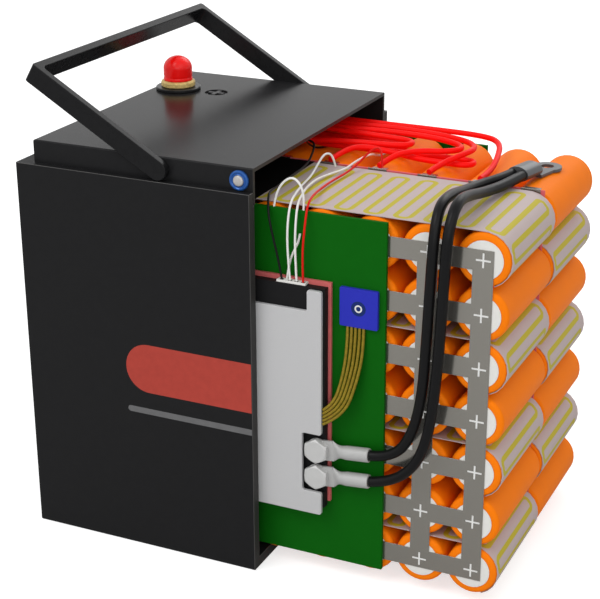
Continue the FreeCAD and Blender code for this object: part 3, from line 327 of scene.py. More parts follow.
STRIPE_GREY = finish("stripe_grey", linear(104, 104, 105), 0.5, grain=2600, bump=0.06,
                     specular=0.10)
SOCKET_DARK = finish("socket_dark", linear(28, 28, 30), 0.6, specular=0.1)
# Near-black for the sheet that lies on the top film under the lid.
UNDER_LID_BLACK = finish("under_lid_black", linear(11, 10, 10), 0.8, grain=1800, specular=0.02)
print("finishes:", len(bpy.data.materials))

# %% [markdown]
# The wires and cables are laid next. Each one is a single smooth spline through the listed
# points of its route, given a round section. The order has to be set after the points are in,
# or the spline stays a chain of straight runs.

# %% Cords


def lay_wire(name, route, diameter, material, node, sides=4):
    """A round wire along a route in millimetres, riding on the battery."""
    data = bpy.data.curves.new(name, "CURVE")
    data.dimensions = "3D"
    spline = data.splines.new("NURBS")
    spline.points.add(len(route) - 1)
    for point, place in zip(spline.points, route):
        point.co = (place[0] * MM, place[1] * MM, place[2] * MM, 1)
    spline.order_u = 3
    spline.use_endpoint_u = True
    data.resolution_u = 8
    data.bevel_depth = diameter * MM / 2
    data.bevel_resolution = sides
    data.use_fill_caps = True
    wire = bpy.data.objects.new(name, data)
    bpy.context.scene.collection.objects.link(wire)
    wire.data.materials.append(material)
    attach(wire, "battery")
    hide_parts(node)
    return wire


def lay_cord(name, node, route, diameter, material):
    """A free cord: a round wire along a route."""
    cord = lay_wire(name, route, diameter, material, node)


CABLE = 5.2
UPPER_ROUTE = [
    (122.7, -75.3, 73.45), (132.5, -75.5, 74.7), (142.5, -76, 85), (148.3, -76, 107),
    (149.9, -76, 138), (151, -76, 167), (152.3, -76.5, 191), (151.5, -68, 201.5), (150, -50, 201),
    (149, -28, 196.5), (151.5, -12, 195.2), (157.5, 1, 195.3), (160.2, 11.3, 195.45)]
LOWER_ROUTE = [
    (122.8, -75.3, 59.35), (134.5, -75.8, 62), (147, -76.3, 74.5), (152.7, -76.5, 93),
    (155.4, -76.3, 120), (156.8, -76, 150), (157.8, -76.3, 177), (159, -76.3, 194),
    (159.2, -67, 203.5), (157.6, -48, 201), (158.2, -28, 196.5), (162.5, -9, 195.3),
    (165.6, 9.9, 195.45)]
lay_cord("upper_power_cable", "cable_upper", UPPER_ROUTE, CABLE, CABLE_BLACK)
lay_cord("lower_power_cable", "cable_lower", LOWER_ROUTE, CABLE, CABLE_BLACK)

# %% [markdown]
# Six red wires come out from under the lid, bend back in a loose bundle over the rear cells and
# end on the nickel tabs between the blocks. They cross in two layers, as real wires do: the ones
# below lie on the cells and the ones above pass over them.

# %% Red wires
RED_WIRE = 3.0
RED_ROUTES = {
    1: (222, [(-30.0, 54, 202.7), (-10, 55, 202.7), (20, 57, 200.5), (51, 58, 199), (97, 59, 199),
              (131, 58, 199), (141, 51, 198), (146, 30, 196), (147.5, 15, 193.6),
              (146.6, 2.3, 193.35)]),
    2: (205, [(-30.0, 49.6, 202.7), (-10, 50, 202), (20, 50.5, 200), (54, 50.5, 199),
              (82, 54, 198.8), (107, 52, 198.5), (125, 47, 198.2), (133, 36, 198.2),
              (130, 22.5, 198.2), (122, 12, 195), (119.9, 2.3, 193.35)]),
    3: (209, [(-30.0, 45.2, 202.7), (-10, 45.4, 202.2), (20, 43.8, 200.4), (54, 42, 199),
              (72, 46, 198.6), (99, 47, 198.4), (118, 43, 198), (127, 35, 197.8),
              (121, 27, 197.5), (107, 24, 197.2), (99, 15.5, 197), (94.5, 8, 194.6),
              (93.4, 2.3, 193.35)]),
    4: (253, [(-30.0, 32, 202.7), (-8, 32, 201.6), (14, 29, 199.5), (32, 26, 196.8),
              (50, 25.5, 194), (70, 27.2, 193.4), (98, 29.6, 193.4), (119, 30.4, 193.4),
              (131.5, 30.3, 193.4), (135, 27.4, 193.4), (135, 23.4, 193.4), (131.5, 20.6, 193.4),
              (120, 20.5, 193.4), (105, 21.5, 193.6),
              (90, 24.3, 194.6), (77, 23.4, 196), (69.5, 15.5, 196), (66.7, 2.3, 193.35)]),
    5: (208, [(-30.0, 36.4, 202.7), (-8, 37, 202), (18, 38.5, 200), (50, 39, 198.4),
              (82, 39, 197.8), (94, 38.6, 197.6), (98.6, 35.4, 197.6), (98.6, 30.6, 197.6),
              (94, 27.4, 197.5), (82, 26.8, 197.2),
              (60, 24, 197), (44, 21.5, 196.4), (37.6, 13, 195), (37.2, 4.2, 193.35)]),
    6: (230, [(-30.0, 40.8, 202.7), (-8, 41, 200), (18, 43.5, 195.8), (42, 44.5, 193.5),
              (76, 45, 193.4), (88, 45.2, 193.4), (92.6, 42.6, 193.4), (92.6, 38, 193.4),
              (88, 35.2, 193.4), (76, 35.8, 193.4), (50, 37, 193.4), (31, 36, 193.4),
              (19, 28, 193.4), (14.5, 14, 193.4),
              (13.5, 2.3, 193.35)])}
for number, (length, route) in RED_ROUTES.items():
    lay_cord("red_charge_wire_%d" % number, "red_wire_%d" % number, route, RED_WIRE,
             CABLE_RED)

# %% [markdown]
# Thin sense wires rise from the small white socket on the guard board and arch over the front
# edge to the cells. One is black, one red and the others white. A short stub and a free-standing
# loop belong to them too.

# %% Sense wires
SENSE_WIRE = 1.1
SENSE_ROUTES = {
    "sense_black": (187, CABLE_BLACK, [
        (76.1, -75, 156.6), (74, -75, 168), (71.6, -75, 177), (69, -74.5, 188), (66, -68, 195.2),
        (64, -60, 194.6), (61.4, -46, 193.1), (60.2, -30, 193), (59.8, -16, 193.1),
        (59.4, -8, 194.4), (58.6, -1.5, 197.6), (57.6, 3, 200.6), (53, 5, 201.4),
        (49.5, 9.5, 199.4), (48.5, 16, 195.4), (49, 24, 191.6), (50, 33, 190.2), (52, 56, 187.6),
        (53.3, 69.2, 186.6)]),
    "sense_white_1": (110, CABLE_WHITE, [
        (80.4, -75, 156.6), (79.3, -75.3, 170), (79.2, -75.2, 183), (79, -71.5, 194),
        (76.5, -58, 195.5), (71.2, -40, 193.2), (69.6, -28, 193.2), (68.6, -18, 196.4),
        (69.2, -11.6, 200.2), (71.2, -8.4, 200), (72.6, -7, 196.6), (73.2, -6.4, 192.9)]),
    "sense_white_2": (180, CABLE_WHITE, [
        (83.8, -75, 156.6), (83.2, -75.3, 170), (83.2, -75, 183), (82.5, -71, 193.5),
        (80, -60, 195), (75, -44, 193.2), (74, -30, 193.2), (77, -19, 193.3), (80.6, -10.5, 193.6),
        (80.4, -1, 193.9), (80.8, 8.5, 194), (81.8, 16, 193.9), (82, 22, 192.8),
        (81.2, 28, 190.4), (80.4, 34, 188.8),
        (79.9, 42, 187), (79.9, 69.2, 186.6)]),
    "sense_red": (129, SENSE_RED, [
        (87.2, -75, 156.6), (86.8, -75.3, 170), (88, -75, 184), (87.6, -71, 193.5),
        (85.6, -61, 195), (82.4, -45, 193.3), (81.9, -30, 193.2), (83.4, -15, 193.4),
        (84.8, -4, 195.4), (86.6, 2, 198.6), (90, 5.6, 201.6), (93, 5.2, 201.2), (94.6, 2.6, 197.4),
        (95.6, 1.2, 192.8)]),
    "sense_loop": (36, CABLE_WHITE, [
        (69.8, -69.7, 190.4), (70.6, -69.7, 195.5), (74, -69.9, 202.4), (79.6, -70, 206.2),
        (84, -69.9, 202.6), (85.4, -69.7, 196), (85.1, -69.7, 190.4)])}
for node, (length, material, route) in SENSE_ROUTES.items():
    lay_cord(node + "_cord", node, route, SENSE_WIRE, material)
STUB_ROUTE = [(78.2, -73.6, 156.6), (79.2, -73.4, 165), (82, -73, 172), (83.7, -72.2, 175.6),
              (84.1, -71.6, 179.4)]
lay_wire("sense_stub", STUB_ROUTE, SENSE_WIRE, CABLE_WHITE, "sense_short")

# %% [markdown]
# Five thin gold leads fan down from the blue module to the side of the guard board. They are
# formed wires, so each gets its own stiff curve, and they stay parallel where they leave.

# %% Module leads
LEAD = 1.5
LEAD_SPACING = 2.05
for index in range(5):
    shift = index * LEAD_SPACING
    lead_route = [(108.7 + shift, -71.7, 137.1), (108.9 + shift, -72.5, 125.2),
                  (107.1 + shift * 0.93, -74.3, 110.2),
                  (104.1 + shift * 0.66, -77.4, 98.0 - shift * 0.65),
                  (98.6, -77.4, 93.8 - shift * 0.92)]
    lay_wire("module_lead_%d" % (index + 1), lead_route, LEAD, LEAD_GOLD, "module_leads", 3)

# %% [markdown]
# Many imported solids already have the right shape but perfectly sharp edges, which no moulded or
# stamped part has. For these a copy of the solid is cleaned up: doubled points are merged, flat
# triangles are joined into one face, and a Bevel modifier rounds every sharp edge by a fraction
# of a millimetre. The rounded edge is what catches the light.

# %% Helpers for pieces


SHARP = 30


def leave_selection():
    if bpy.context.object and bpy.context.object.mode != "OBJECT":
        bpy.ops.object.mode_set(mode="OBJECT")
    bpy.ops.object.select_all(action="DESELECT")


def take(piece):
    """Select one object and make it the active one."""
    leave_selection()
    piece.select_set(True)
    bpy.context.view_layer.objects.active = piece


def dress(piece, name, material, body, *nodes, angle=35):
    """Name a finished mesh, settle its place, smooth it and hang it on its body."""
    take(piece)
    bpy.ops.object.transform_apply(location=True, rotation=True, scale=True)
    piece.name = name
    piece.data.name = name
    piece.data.materials.clear()
    piece.data.materials.append(material)
    bpy.ops.object.shade_smooth_by_angle(angle=math.radians(angle))
    even = piece.modifiers.new("even", "WEIGHTED_NORMAL")
    even.keep_sharp = True
    bpy.ops.object.modifier_apply(modifier=even.name)
    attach(piece, body)
    if nodes:
        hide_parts(*nodes)
    bpy.ops.object.select_all(action="DESELECT")


def apply_modifiers(piece):
    take(piece)
    for modifier in list(piece.modifiers):
        bpy.ops.object.modifier_apply(modifier=modifier.name)


def add_bevel(piece, width, segments=2, slot=-1):
    """Round the sharp edges; the new faces can take another material slot."""
    bevel = piece.modifiers.new("edge", "BEVEL")
    bevel.material = slot
    bevel.width = width * MM
    bevel.segments = segments
    bevel.limit_method = "ANGLE"
    bevel.angle_limit = math.radians(SHARP)
    bevel.use_clamp_overlap = True
    bevel.harden_normals = False
    apply_modifiers(piece)


def copy_solid(node):
    """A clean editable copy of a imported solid, with whole faces instead of triangles."""
    copy = NODES[node].copy()
    copy.data = NODES[node].data.copy()
    copy.parent = None
    for key in list(copy.keys()):
        del copy[key]
    bpy.context.scene.collection.objects.link(copy)
    copy.hide_render = False
    copy.hide_viewport = False
    take(copy)
    bpy.ops.object.mode_set(mode="EDIT")
    bpy.ops.mesh.select_all(action="SELECT")
    bpy.ops.mesh.remove_doubles(threshold=0.000002)
    bpy.ops.mesh.dissolve_limited(angle_limit=math.radians(1.0))
    bpy.ops.object.mode_set(mode="OBJECT")
    return copy


def rounded(name, node, width, material, body="battery", segments=2):
    """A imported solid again, with its sharp edges rounded."""
    piece = copy_solid(node)
    add_bevel(piece, width, segments)
    dress(piece, name, material, body, node, angle=50)


def trimmed(name, node, width, material, reach, drop):
    """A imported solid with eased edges; the points within a reach of its top come down a little."""
    piece = copy_solid(node)
    leave_selection()
    foot = (high(node)[2] - reach) * MM
    for vertex in piece.data.vertices:
        vertex.select = vertex.co.z > foot
    take(piece)
    bpy.ops.object.mode_set(mode="EDIT")
    bpy.ops.transform.translate(value=(0, 0, -drop * MM))
    bpy.ops.object.mode_set(mode="OBJECT")
    add_bevel(piece, width)
    dress(piece, name, material, "battery", node, angle=50)


def drawn_out(rings, sides=28):
    """A loft along X: a circle extruded through (place, half width, half thickness) steps."""
    bpy.ops.mesh.primitive_circle_add(vertices=sides, radius=MM, fill_type="NOTHING",
                                      location=(0, 0, rings[0][0] * MM))
    piece = bpy.context.object
    bpy.ops.object.transform_apply(location=True, rotation=True, scale=True)
    bpy.ops.object.mode_set(mode="EDIT")
    bpy.ops.mesh.select_all(action="SELECT")
    place, width, thickness = 0.0, 1.0, 1.0
    for index, (next_place, next_width, next_thickness) in enumerate(rings):
        if index:
            rise = (next_place - place) * MM
            bpy.ops.mesh.extrude_region_move(TRANSFORM_OT_translate={"value": (0, 0, rise)})
        bpy.ops.transform.resize(value=(next_width / width, next_thickness / thickness, 1),
                                 center_override=(0, 0, next_place * MM))
        place, width, thickness = next_place, next_width, next_thickness
    bpy.ops.mesh.edge_face_add()
    bpy.ops.mesh.select_all(action="SELECT")
    bpy.ops.mesh.normals_make_consistent(inside=False)
    bpy.ops.object.mode_set(mode="OBJECT")
    return piece


def rounded_with_edge_highlight(name, node, width, material, edge_highlight_material):
    """As rounded, with a paler second material on the rounded edges, as a painted highlight."""
    piece = copy_solid(node)
    piece.data.materials.clear()
    piece.data.materials.append(material)
    piece.data.materials.append(edge_highlight_material)
    add_bevel(piece, width, segments=3, slot=1)
    highlight_faces = [face.index for face in piece.data.polygons if face.material_index == 1]
    dress(piece, name, material, "battery", node, angle=50)
    piece.data.materials.append(edge_highlight_material)
    for index in highlight_faces:
        piece.data.polygons[index].material_index = 1


def box_piece(corner, far_corner, width=0.0):
    """A block between two corners in millimetres, with rounded edges if a width is given."""
    middle = [(a + b) / 2 * MM for a, b in zip(corner, far_corner)]
    bpy.ops.mesh.primitive_cube_add(size=1, location=middle)
    piece = bpy.context.object
    piece.scale = [(b - a) * MM for a, b in zip(corner, far_corner)]
    bpy.ops.object.transform_apply(location=True, rotation=True, scale=True)
    if width:
        add_bevel(piece, width)
    return piece


def turned(rings, place, axis="Z", sides=48, closed=False):
    """A turned piece: a circle extruded through a list of (radius, height) steps."""
    radius, height = rings[0]
    bpy.ops.mesh.primitive_circle_add(vertices=sides, radius=max(radius, 0.001) * MM,
                                      fill_type="NOTHING", location=(0, 0, height * MM))
    piece = bpy.context.object
    bpy.ops.object.transform_apply(location=True, rotation=True, scale=True)
    bpy.ops.object.mode_set(mode="EDIT")
    bpy.ops.mesh.select_all(action="SELECT")
    steps = rings[1:] + (rings[:1] if closed else [])
    for next_radius, next_height in steps:
        rise = (next_height - height) * MM
        bpy.ops.mesh.extrude_region_move(TRANSFORM_OT_translate={"value": (0, 0, rise)})
        ratio = max(next_radius, 0.001) / max(radius, 0.001)
        bpy.ops.transform.resize(value=(ratio, ratio, 1), center_override=(0, 0, next_height * MM))
        radius, height = next_radius, next_height
    bpy.ops.mesh.select_all(action="SELECT")
    bpy.ops.mesh.remove_doubles(threshold=0.000008)
    bpy.ops.mesh.normals_make_consistent(inside=False)
    bpy.ops.object.mode_set(mode="OBJECT")
    turns = {"Z": (0, 0, 0), "Y": (math.radians(-90), 0, 0), "-Y": (math.radians(90), 0, 0)}
    piece.rotation_euler = turns[axis]
    piece.location = [part * MM for part in place]
    bpy.ops.object.transform_apply(location=True, rotation=True, scale=True)
    return piece


def array(piece, count, step):
    """Copies of a piece in a row, each a step in millimetres further on."""
    rows = piece.modifiers.new("row", "ARRAY")
    rows.use_relative_offset = False
    rows.use_constant_offset = True
    rows.constant_offset_displace = [part * MM for part in step]
    rows.count = count
    apply_modifiers(piece)


def join(pieces):
    """Join several meshes into the first."""
    leave_selection()
    for piece in pieces:
        piece.select_set(True)
    bpy.context.view_layer.objects.active = pieces[0]
    bpy.ops.object.join()
    return pieces[0]


def plus_parts(reach, half):
    """A plus as three rectangles that meet edge to edge: the bar and the two stubs across it."""
    return [(-reach, -half, reach, half), (-half, half, half, reach), (-half, -reach, half, -half)]


def low(node):
    return [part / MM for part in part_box(node)[0]]


def high(node):
    return [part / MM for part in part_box(node)[1]]


# %% [markdown]
# The case is one moulding, sawn through across its length. Its outside is a fine satin black;
# the sawn face is a little paler and shows straight saw lines. That face is found in the material
# by its place along X, so no extra piece is needed.

# %% Case
CUT_PLACE = high("case")[0]


def mark_sawn_face(material, place, colour):
    """Paler colour and saw lines where the surface lies in the cut plane."""
    tree = material.node_tree
    shader = tree.nodes["Principled BSDF"]
    where = tree.nodes.new("ShaderNodeTexCoord")
    split = tree.nodes.new("ShaderNodeSeparateXYZ")
    tree.links.new(where.outputs["Object"], split.inputs[0])
    past = number_node(tree, "GREATER_THAN", split.outputs["X"], (place - 0.12) * MM)
    lines = tree.nodes.new("ShaderNodeTexNoise")
    lines.inputs["Scale"].default_value = 500
    lines.inputs["Detail"].default_value = 2
    pull = tree.nodes.new("ShaderNodeVectorMath")
    pull.operation = "MULTIPLY"
    pull.inputs[1].default_value = (1, 6, 0.15)
    tree.links.new(where.outputs["Object"], pull.inputs[0])
    tree.links.new(pull.outputs[0], lines.inputs["Vector"])
    sawn = tree.nodes.new("ShaderNodeMix")
    sawn.data_type = "RGBA"
    sawn.inputs["A"].default_value = tuple(part * 0.8 for part in colour[:3]) + (1,)
    sawn.inputs["B"].default_value = tuple(part * 1.25 for part in colour[:3]) + (1,)
    tree.links.new(lines.outputs["Fac"], sawn.inputs["Factor"])
    choose = tree.nodes.new("ShaderNodeMix")
    choose.data_type = "RGBA"
    tree.links.new(past, choose.inputs["Factor"])
    tree.links.new(tree.nodes["tone"].outputs["Result"], choose.inputs["A"])
    tree.links.new(sawn.outputs["Result"], choose.inputs["B"])
    tree.links.new(choose.outputs["Result"], shader.inputs["Base Color"])


SAWN_GREY = linear(54, 53, 52)
mark_sawn_face(CASE_BLACK, CUT_PLACE, SAWN_GREY)
mark_sawn_face(LID_BLACK, CUT_PLACE, SAWN_GREY)
MOULDED_EDGE = 0.25
# The rounded edges of case and lid take the paler black, a painted highlight.
rounded_with_edge_highlight("moulded_case", "case", MOULDED_EDGE, CASE_BLACK, EDGE_HIGHLIGHT_BLACK)
rounded_with_edge_highlight("moulded_lid", "lid", MOULDED_EDGE, LID_BLACK, EDGE_HIGHLIGHT_BLACK)
print("case cut at", round(CUT_PLACE, 1), "mm")

# %% [markdown]
# Two plain stripes are printed on the front: a wide salmon one and a thin grey one under it, both
# ending just short of the cut. Each is a film of paint that stands a twentieth of a millimetre
# proud, with rounded left corners.

# %% Printed stripes
FRONT_FACE = low("case")[1]
STRIPE_LEFT = -6
STRIPE_RIGHT = CUT_PLACE - 0.4
PAINT = 0.05
for name, foot, tall, material in (("salmon_stripe", 88, 26, STRIPE_SALMON),
                                   ("grey_stripe", 76, 3.2, STRIPE_GREY)):
    stripe = box_piece((STRIPE_LEFT, FRONT_FACE - PAINT, foot),
                       (STRIPE_RIGHT, FRONT_FACE + PAINT, foot + tall))
    take(stripe)
    bpy.ops.object.mode_set(mode="EDIT")
    bpy.ops.mesh.select_mode(type="EDGE")
    bpy.ops.mesh.select_all(action="DESELECT")
    bpy.ops.object.mode_set(mode="OBJECT")
    for edge in stripe.data.edges:
        ends = [stripe.data.vertices[index].co for index in edge.vertices]
        along = abs(ends[0].y - ends[1].y) > 0.00005
        edge.select = along and ends[0].x < (STRIPE_LEFT + 0.1) * MM
    bpy.ops.object.mode_set(mode="EDIT")
    bpy.ops.mesh.bevel(offset=tall * 0.49 * MM, segments=12)
    bpy.ops.object.mode_set(mode="OBJECT")
    dress(stripe, name, material, "battery")

# %% [markdown]
# The handle is a flat band bent into a bail. Its outer corners are short slanted bends, and all
# its edges are broken by a small radius. It rides on its own body, because it swings.

# %% Handle and pins
rounded("bail_handle", "handle", 0.5, HANDLE_BLACK, "handle", segments=3)
rounded("hinge_pins", "handle_pins", 0.2, ZINC)

# %% [markdown]
# The round mark beside the post is a shallow well in the lid, with a plus standing in it. It is
# polarity marking as every battery has, so it is generic. The plus is a bar with a stub on each
# side.

# %% Polarity mark
LID_TOP = high("lid")[2]
MARK = (-19.0, 41.0)
WELL_DEPTH = 0.8
bars = []
for left, front, right, back in plus_parts(4.6, 1.1):
    bars.append(box_piece((MARK[0] + left, MARK[1] + front, LID_TOP - WELL_DEPTH - 0.05),
                          (MARK[0] + right, MARK[1] + back, LID_TOP - 0.05)))
dress(join(bars), "polarity_plus", LID_BLACK, "battery")

# %% [markdown]
# The positive post is turned brass with a rough, speckled collar. A rubber washer seals it to
# the lid and a soft red cap keeps fingers off. All three are turned shapes, so each is a circle
# extruded through its own profile.

# %% Post, washer and cap
POST = (-42.0, 40.0)
WASHER_HEIGHT = 1.8
washer = turned([(4.3, 0), (11.6, 0), (12.2, 0.3), (12.25, 1.4), (11.8, 1.78),
                 (9.9, WASHER_HEIGHT), (9.6, 1.62), (9.3, WASHER_HEIGHT), (4.3, WASHER_HEIGHT)],
                (POST[0], POST[1], LID_TOP), sides=72, closed=True)
dress(washer, "post_washer", WASHER_RUBBER, "battery", "terminal_washer")
COLLAR_FOOT = LID_TOP + WASHER_HEIGHT
COLLAR_HEIGHT = 3.4
collar = turned([(0, -11.9), (3.6, -11.9), (4.0, -11.4), (4.0, 0), (8.7, 0), (9.3, 0.5),
                 (9.3, 2.3), (9.0, 2.9), (8.4, 3.3), (7.9, COLLAR_HEIGHT), (4.0, COLLAR_HEIGHT),
                 (4.0, 14.1), (3.4, 14.9), (0, 14.9)],
                (POST[0], POST[1], COLLAR_FOOT), sides=64)
dress(collar, "brass_post", BRASS, "battery", "terminal_post", angle=30)
CAP_FOOT = COLLAR_FOOT + COLLAR_HEIGHT
CAP_RADIUS = 7.8
DOME_FOOT = 6.6
DOME_RISE = 6.6
DOME_STEPS = 10
profile = [(4.1, 0), (7.45, 0), (7.85, 0.35), (7.9, 1.2), (7.62, 1.6), (7.62, 2.1),
           (CAP_RADIUS, 2.6)]
for step in range(DOME_STEPS + 1):
    angle = math.radians(90 * step / DOME_STEPS)
    profile.append((CAP_RADIUS * math.cos(angle), DOME_FOOT + DOME_RISE * math.sin(angle)))
cap = turned(profile + [(0, DOME_FOOT + DOME_RISE)], (POST[0], POST[1], CAP_FOOT), sides=56)
dress(cap, "red_cap", CAP_RED, "battery", "terminal_cap", angle=40)

# %% [markdown]
# Under the lid the post is held by two nuts with the inner bar between them. They are hidden in
# most views, but they are real pieces and get their own metal.

# %% Nuts and bar under the lid
rounded("post_nuts", "terminal_nuts", 0.3, ZINC)
rounded("positive_bus_bar", "positive_bar", 0.3, COPPER)

# %% [markdown]
# The push button is a blue bezel with a stepped ring, a plain barrel through the lid's wall and
# a silver plunger. The plunger travels, so it rides on its own body.

# %% Push button
BUTTON = (57.3, -80.0, 204.3)
bezel = turned([(3.4, -8.3), (3.4, 0), (4.8, 0), (4.9, 0.25), (4.9, 1.1), (4.6, 1.55), (4.25, 1.7),
                (3.95, 1.7), (3.7, 1.5), (3.45, 1.3), (3.1, 1.3), (2.8, 1.5), (2.73, 1.35),
                (2.73, -7.0), (2.73, -8.3)], BUTTON, axis="-Y", sides=56, closed=True)
dress(bezel, "button_ring", BEZEL_BLUE, "battery", "button_bezel", angle=30)
rounded("button_lock_nut", "button_nut", 0.25, BEZEL_BLUE)
plunger = turned([(0, -4.95), (2.62, -4.95), (2.65, -4.8), (2.65, 1.6), (2.5, 1.95), (2.1, 2.2),
                  (1.2, 2.28), (0, 2.3)], BUTTON, axis="-Y", sides=40)
dress(plunger, "button_plunger_face", PLUNGER_SILVER, "button", "button_plunger", angle=40)

# %% [markdown]
# Each cell is a can in a shrink wrap. The wrap rolls over both ends, which leaves an orange rim
# with a soft edge round a pale end. One cell is turned once, an Array modifier makes a row of
# nine, and every other row is a copy of that row with its own mesh.

# %% Cells
CELL_RADIUS = 13.0
CELL_LENGTH = 67.6
PITCH = 26.6
COLUMNS = 9
ROWS = 7
FIRST_X = low("front_cells_row_1")[0] + CELL_RADIUS
FIRST_Z = low("front_cells_row_1")[2] + CELL_RADIUS
CELL_FRONT = low("front_cells_row_1")[1]
BACK_FRONT = low("back_cells_row_1")[1]
LAST_X = FIRST_X + (COLUMNS - 1) * PITCH
CREST = FIRST_Z + (ROWS - 1) * PITCH + CELL_RADIUS
can = turned([(0, 0.25), (9.5, 0.25), (9.62, 0.0), (11.2, 0.0), (12.1, 0.28), (12.75, 0.95),
              (13.0, 1.9), (13.0, CELL_LENGTH - 1.9), (12.75, CELL_LENGTH - 0.95),
              (12.1, CELL_LENGTH - 0.28), (11.2, CELL_LENGTH), (0, CELL_LENGTH)],
             (FIRST_X, 0, FIRST_Z), axis="Y", sides=32)
array(can, COLUMNS, (PITCH, 0, 0))
for block, front in (("front", CELL_FRONT), ("back", BACK_FRONT)):
    for level in range(ROWS):
        row = can.copy()
        row.data = can.data.copy()
        bpy.context.scene.collection.objects.link(row)
        row.location = (0, front * MM, level * PITCH * MM)
        dress(row, "wrapped_%s_row_%d" % (block, level + 1), CELL_ORANGE, "battery",
              "%s_cells_row_%d" % (block, level + 1), angle=40)
bpy.data.objects.remove(can)
print("cells:", 2 * COLUMNS * ROWS)

# %% [markdown]
# A white paper disc with a raised rim covers each front end, inside the orange edge of the wrap.
# It is turned once and copied over the grid by two Array modifiers.

# %% Paper discs
ring = turned([(0, 0.02), (3.2, 0.02), (3.4, 0.12), (9.2, 0.12), (9.4, 0.0), (9.4, -0.2),
               (0, -0.2)], (FIRST_X, CELL_FRONT - 0.1, FIRST_Z), axis="-Y", sides=32)
array(ring, COLUMNS, (PITCH, 0, 0))
array(ring, ROWS, (0, 0, PITCH))
dress(ring, "paper_rings", INSULATOR_WHITE, "battery", "insulator_rings")

# %% [markdown]
# Nickel sheets are stamped with square windows and spot-welded to every can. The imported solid
# has the windows, so it only needs its edges eased. Each weld is a bright plus, repeated over the
# grid.

# %% Nickel sheets and welds
rounded("front_nickel_sheet", "front_nickel_lattice", 0.08, NICKEL)
rounded("back_nickel_sheet", "back_nickel_lattice", 0.08, NICKEL)
rounded("inner_front_nickel", "inner_front_strips", 0.08, NICKEL)
rounded("inner_back_nickel", "inner_back_strips", 0.08, NICKEL)


WELD_HEIGHT = 0.06


def weld_grid(name, face, outward):
    """A bright weld mark over every cell on one face."""
    near, far = sorted((face, face + outward * WELD_HEIGHT))
    strokes = []
    for left, foot, right, top in plus_parts(3.5, 0.42):
        strokes.append(box_piece((FIRST_X + left, near, FIRST_Z + foot),
                                 (FIRST_X + right, far, FIRST_Z + top)))
    weld = join(strokes)
    array(weld, COLUMNS, (PITCH, 0, 0))
    array(weld, ROWS, (0, 0, PITCH))
    dress(weld, name, WELD_BRIGHT, "battery")


weld_grid("front_welds", low("front_nickel_lattice")[1], -1)
weld_grid("back_welds", high("back_nickel_lattice")[1], 1)

# %% [markdown]
# Heating films lie on alternate rows. Each is a grey film that runs flat over the cells and curls
# round the last one, with a printed olive trace that snakes from side to side. The film is a grid
# wrapped to its section, and the grid keeps a flat UV map, so the trace can be worked out in the
# material: straight runs, joined at alternate ends by a short run with two rounded corners. The
# nodes give each point's distance from that line, and the trace is where it is small.

# %% Film material
RUN = 7.4
TRACE = 2.6
TRACE_TURN = 3.0
TRACE_REACH = 28.8
TRACE_FORWARD = 1.6
TRACE_START = 9.8
FILM_WIDTH = CELL_LENGTH - 2.0
WRAP = 157.5
FILM_RADIUS = 13.3
FILM_THICKNESS = 0.34
FILM_LENGTH = LAST_X - FIRST_X + FILM_RADIUS * math.radians(WRAP)


def make_film_material():
    film = finish("heater_film", linear(188, 172, 170), 0.5, contrast=0.05, grain=700,
                  specular=0.15)
    tree = film.node_tree
    shader = tree.nodes["Principled BSDF"]
    uv = tree.nodes.new("ShaderNodeUVMap")
    uv.uv_map = "flat"
    split = tree.nodes.new("ShaderNodeSeparateXYZ")
    tree.links.new(uv.outputs[0], split.inputs[0])
    along = number_node(tree, "MULTIPLY", split.outputs["X"], FILM_LENGTH)
    from_middle = number_node(tree, "SUBTRACT", split.outputs["Y"], 0.5)
    across = number_node(tree, "ADD", number_node(tree, "MULTIPLY", from_middle, FILM_WIDTH),
                         TRACE_FORWARD)
    upper = number_node(tree, "GREATER_THAN", across, 0)
    phase = number_node(tree, "ADD", number_node(tree, "ADD", along, TRACE_START),
                        number_node(tree, "MULTIPLY", upper, RUN))
    centred = number_node(tree, "SUBTRACT", phase, RUN / 2)
    sideways = number_node(tree, "PINGPONG", centred, RUN)
    past_side = number_node(tree, "SUBTRACT", sideways, RUN / 2 - TRACE_TURN)
    past_end = number_node(tree, "SUBTRACT", number_node(tree, "ABSOLUTE", across),
                           TRACE_REACH - TRACE_TURN)
    out_side = number_node(tree, "MAXIMUM", past_side, 0)
    out_end = number_node(tree, "MAXIMUM", past_end, 0)
    squares = number_node(tree, "ADD", number_node(tree, "MULTIPLY", out_side, out_side),
                          number_node(tree, "MULTIPLY", out_end, out_end))
    inner = number_node(tree, "MINIMUM", number_node(tree, "MAXIMUM", past_side, past_end), 0)
    bend = number_node(tree, "ADD", number_node(tree, "SQRT", squares), inner)
    distance = number_node(tree, "ABSOLUTE", number_node(tree, "SUBTRACT", bend, TRACE_TURN))
    mask = number_node(tree, "LESS_THAN", distance, TRACE / 2)
    paint = tree.nodes.new("ShaderNodeMix")
    paint.data_type = "RGBA"
    paint.inputs["B"].default_value = linear(186, 172, 44)
    tree.links.new(mask, paint.inputs["Factor"])
    tree.links.new(tree.nodes["tone"].outputs["Result"], paint.inputs["A"])
    tree.links.new(paint.outputs["Result"], shader.inputs["Base Color"])
    return film


HEATER_FILM = make_film_material()
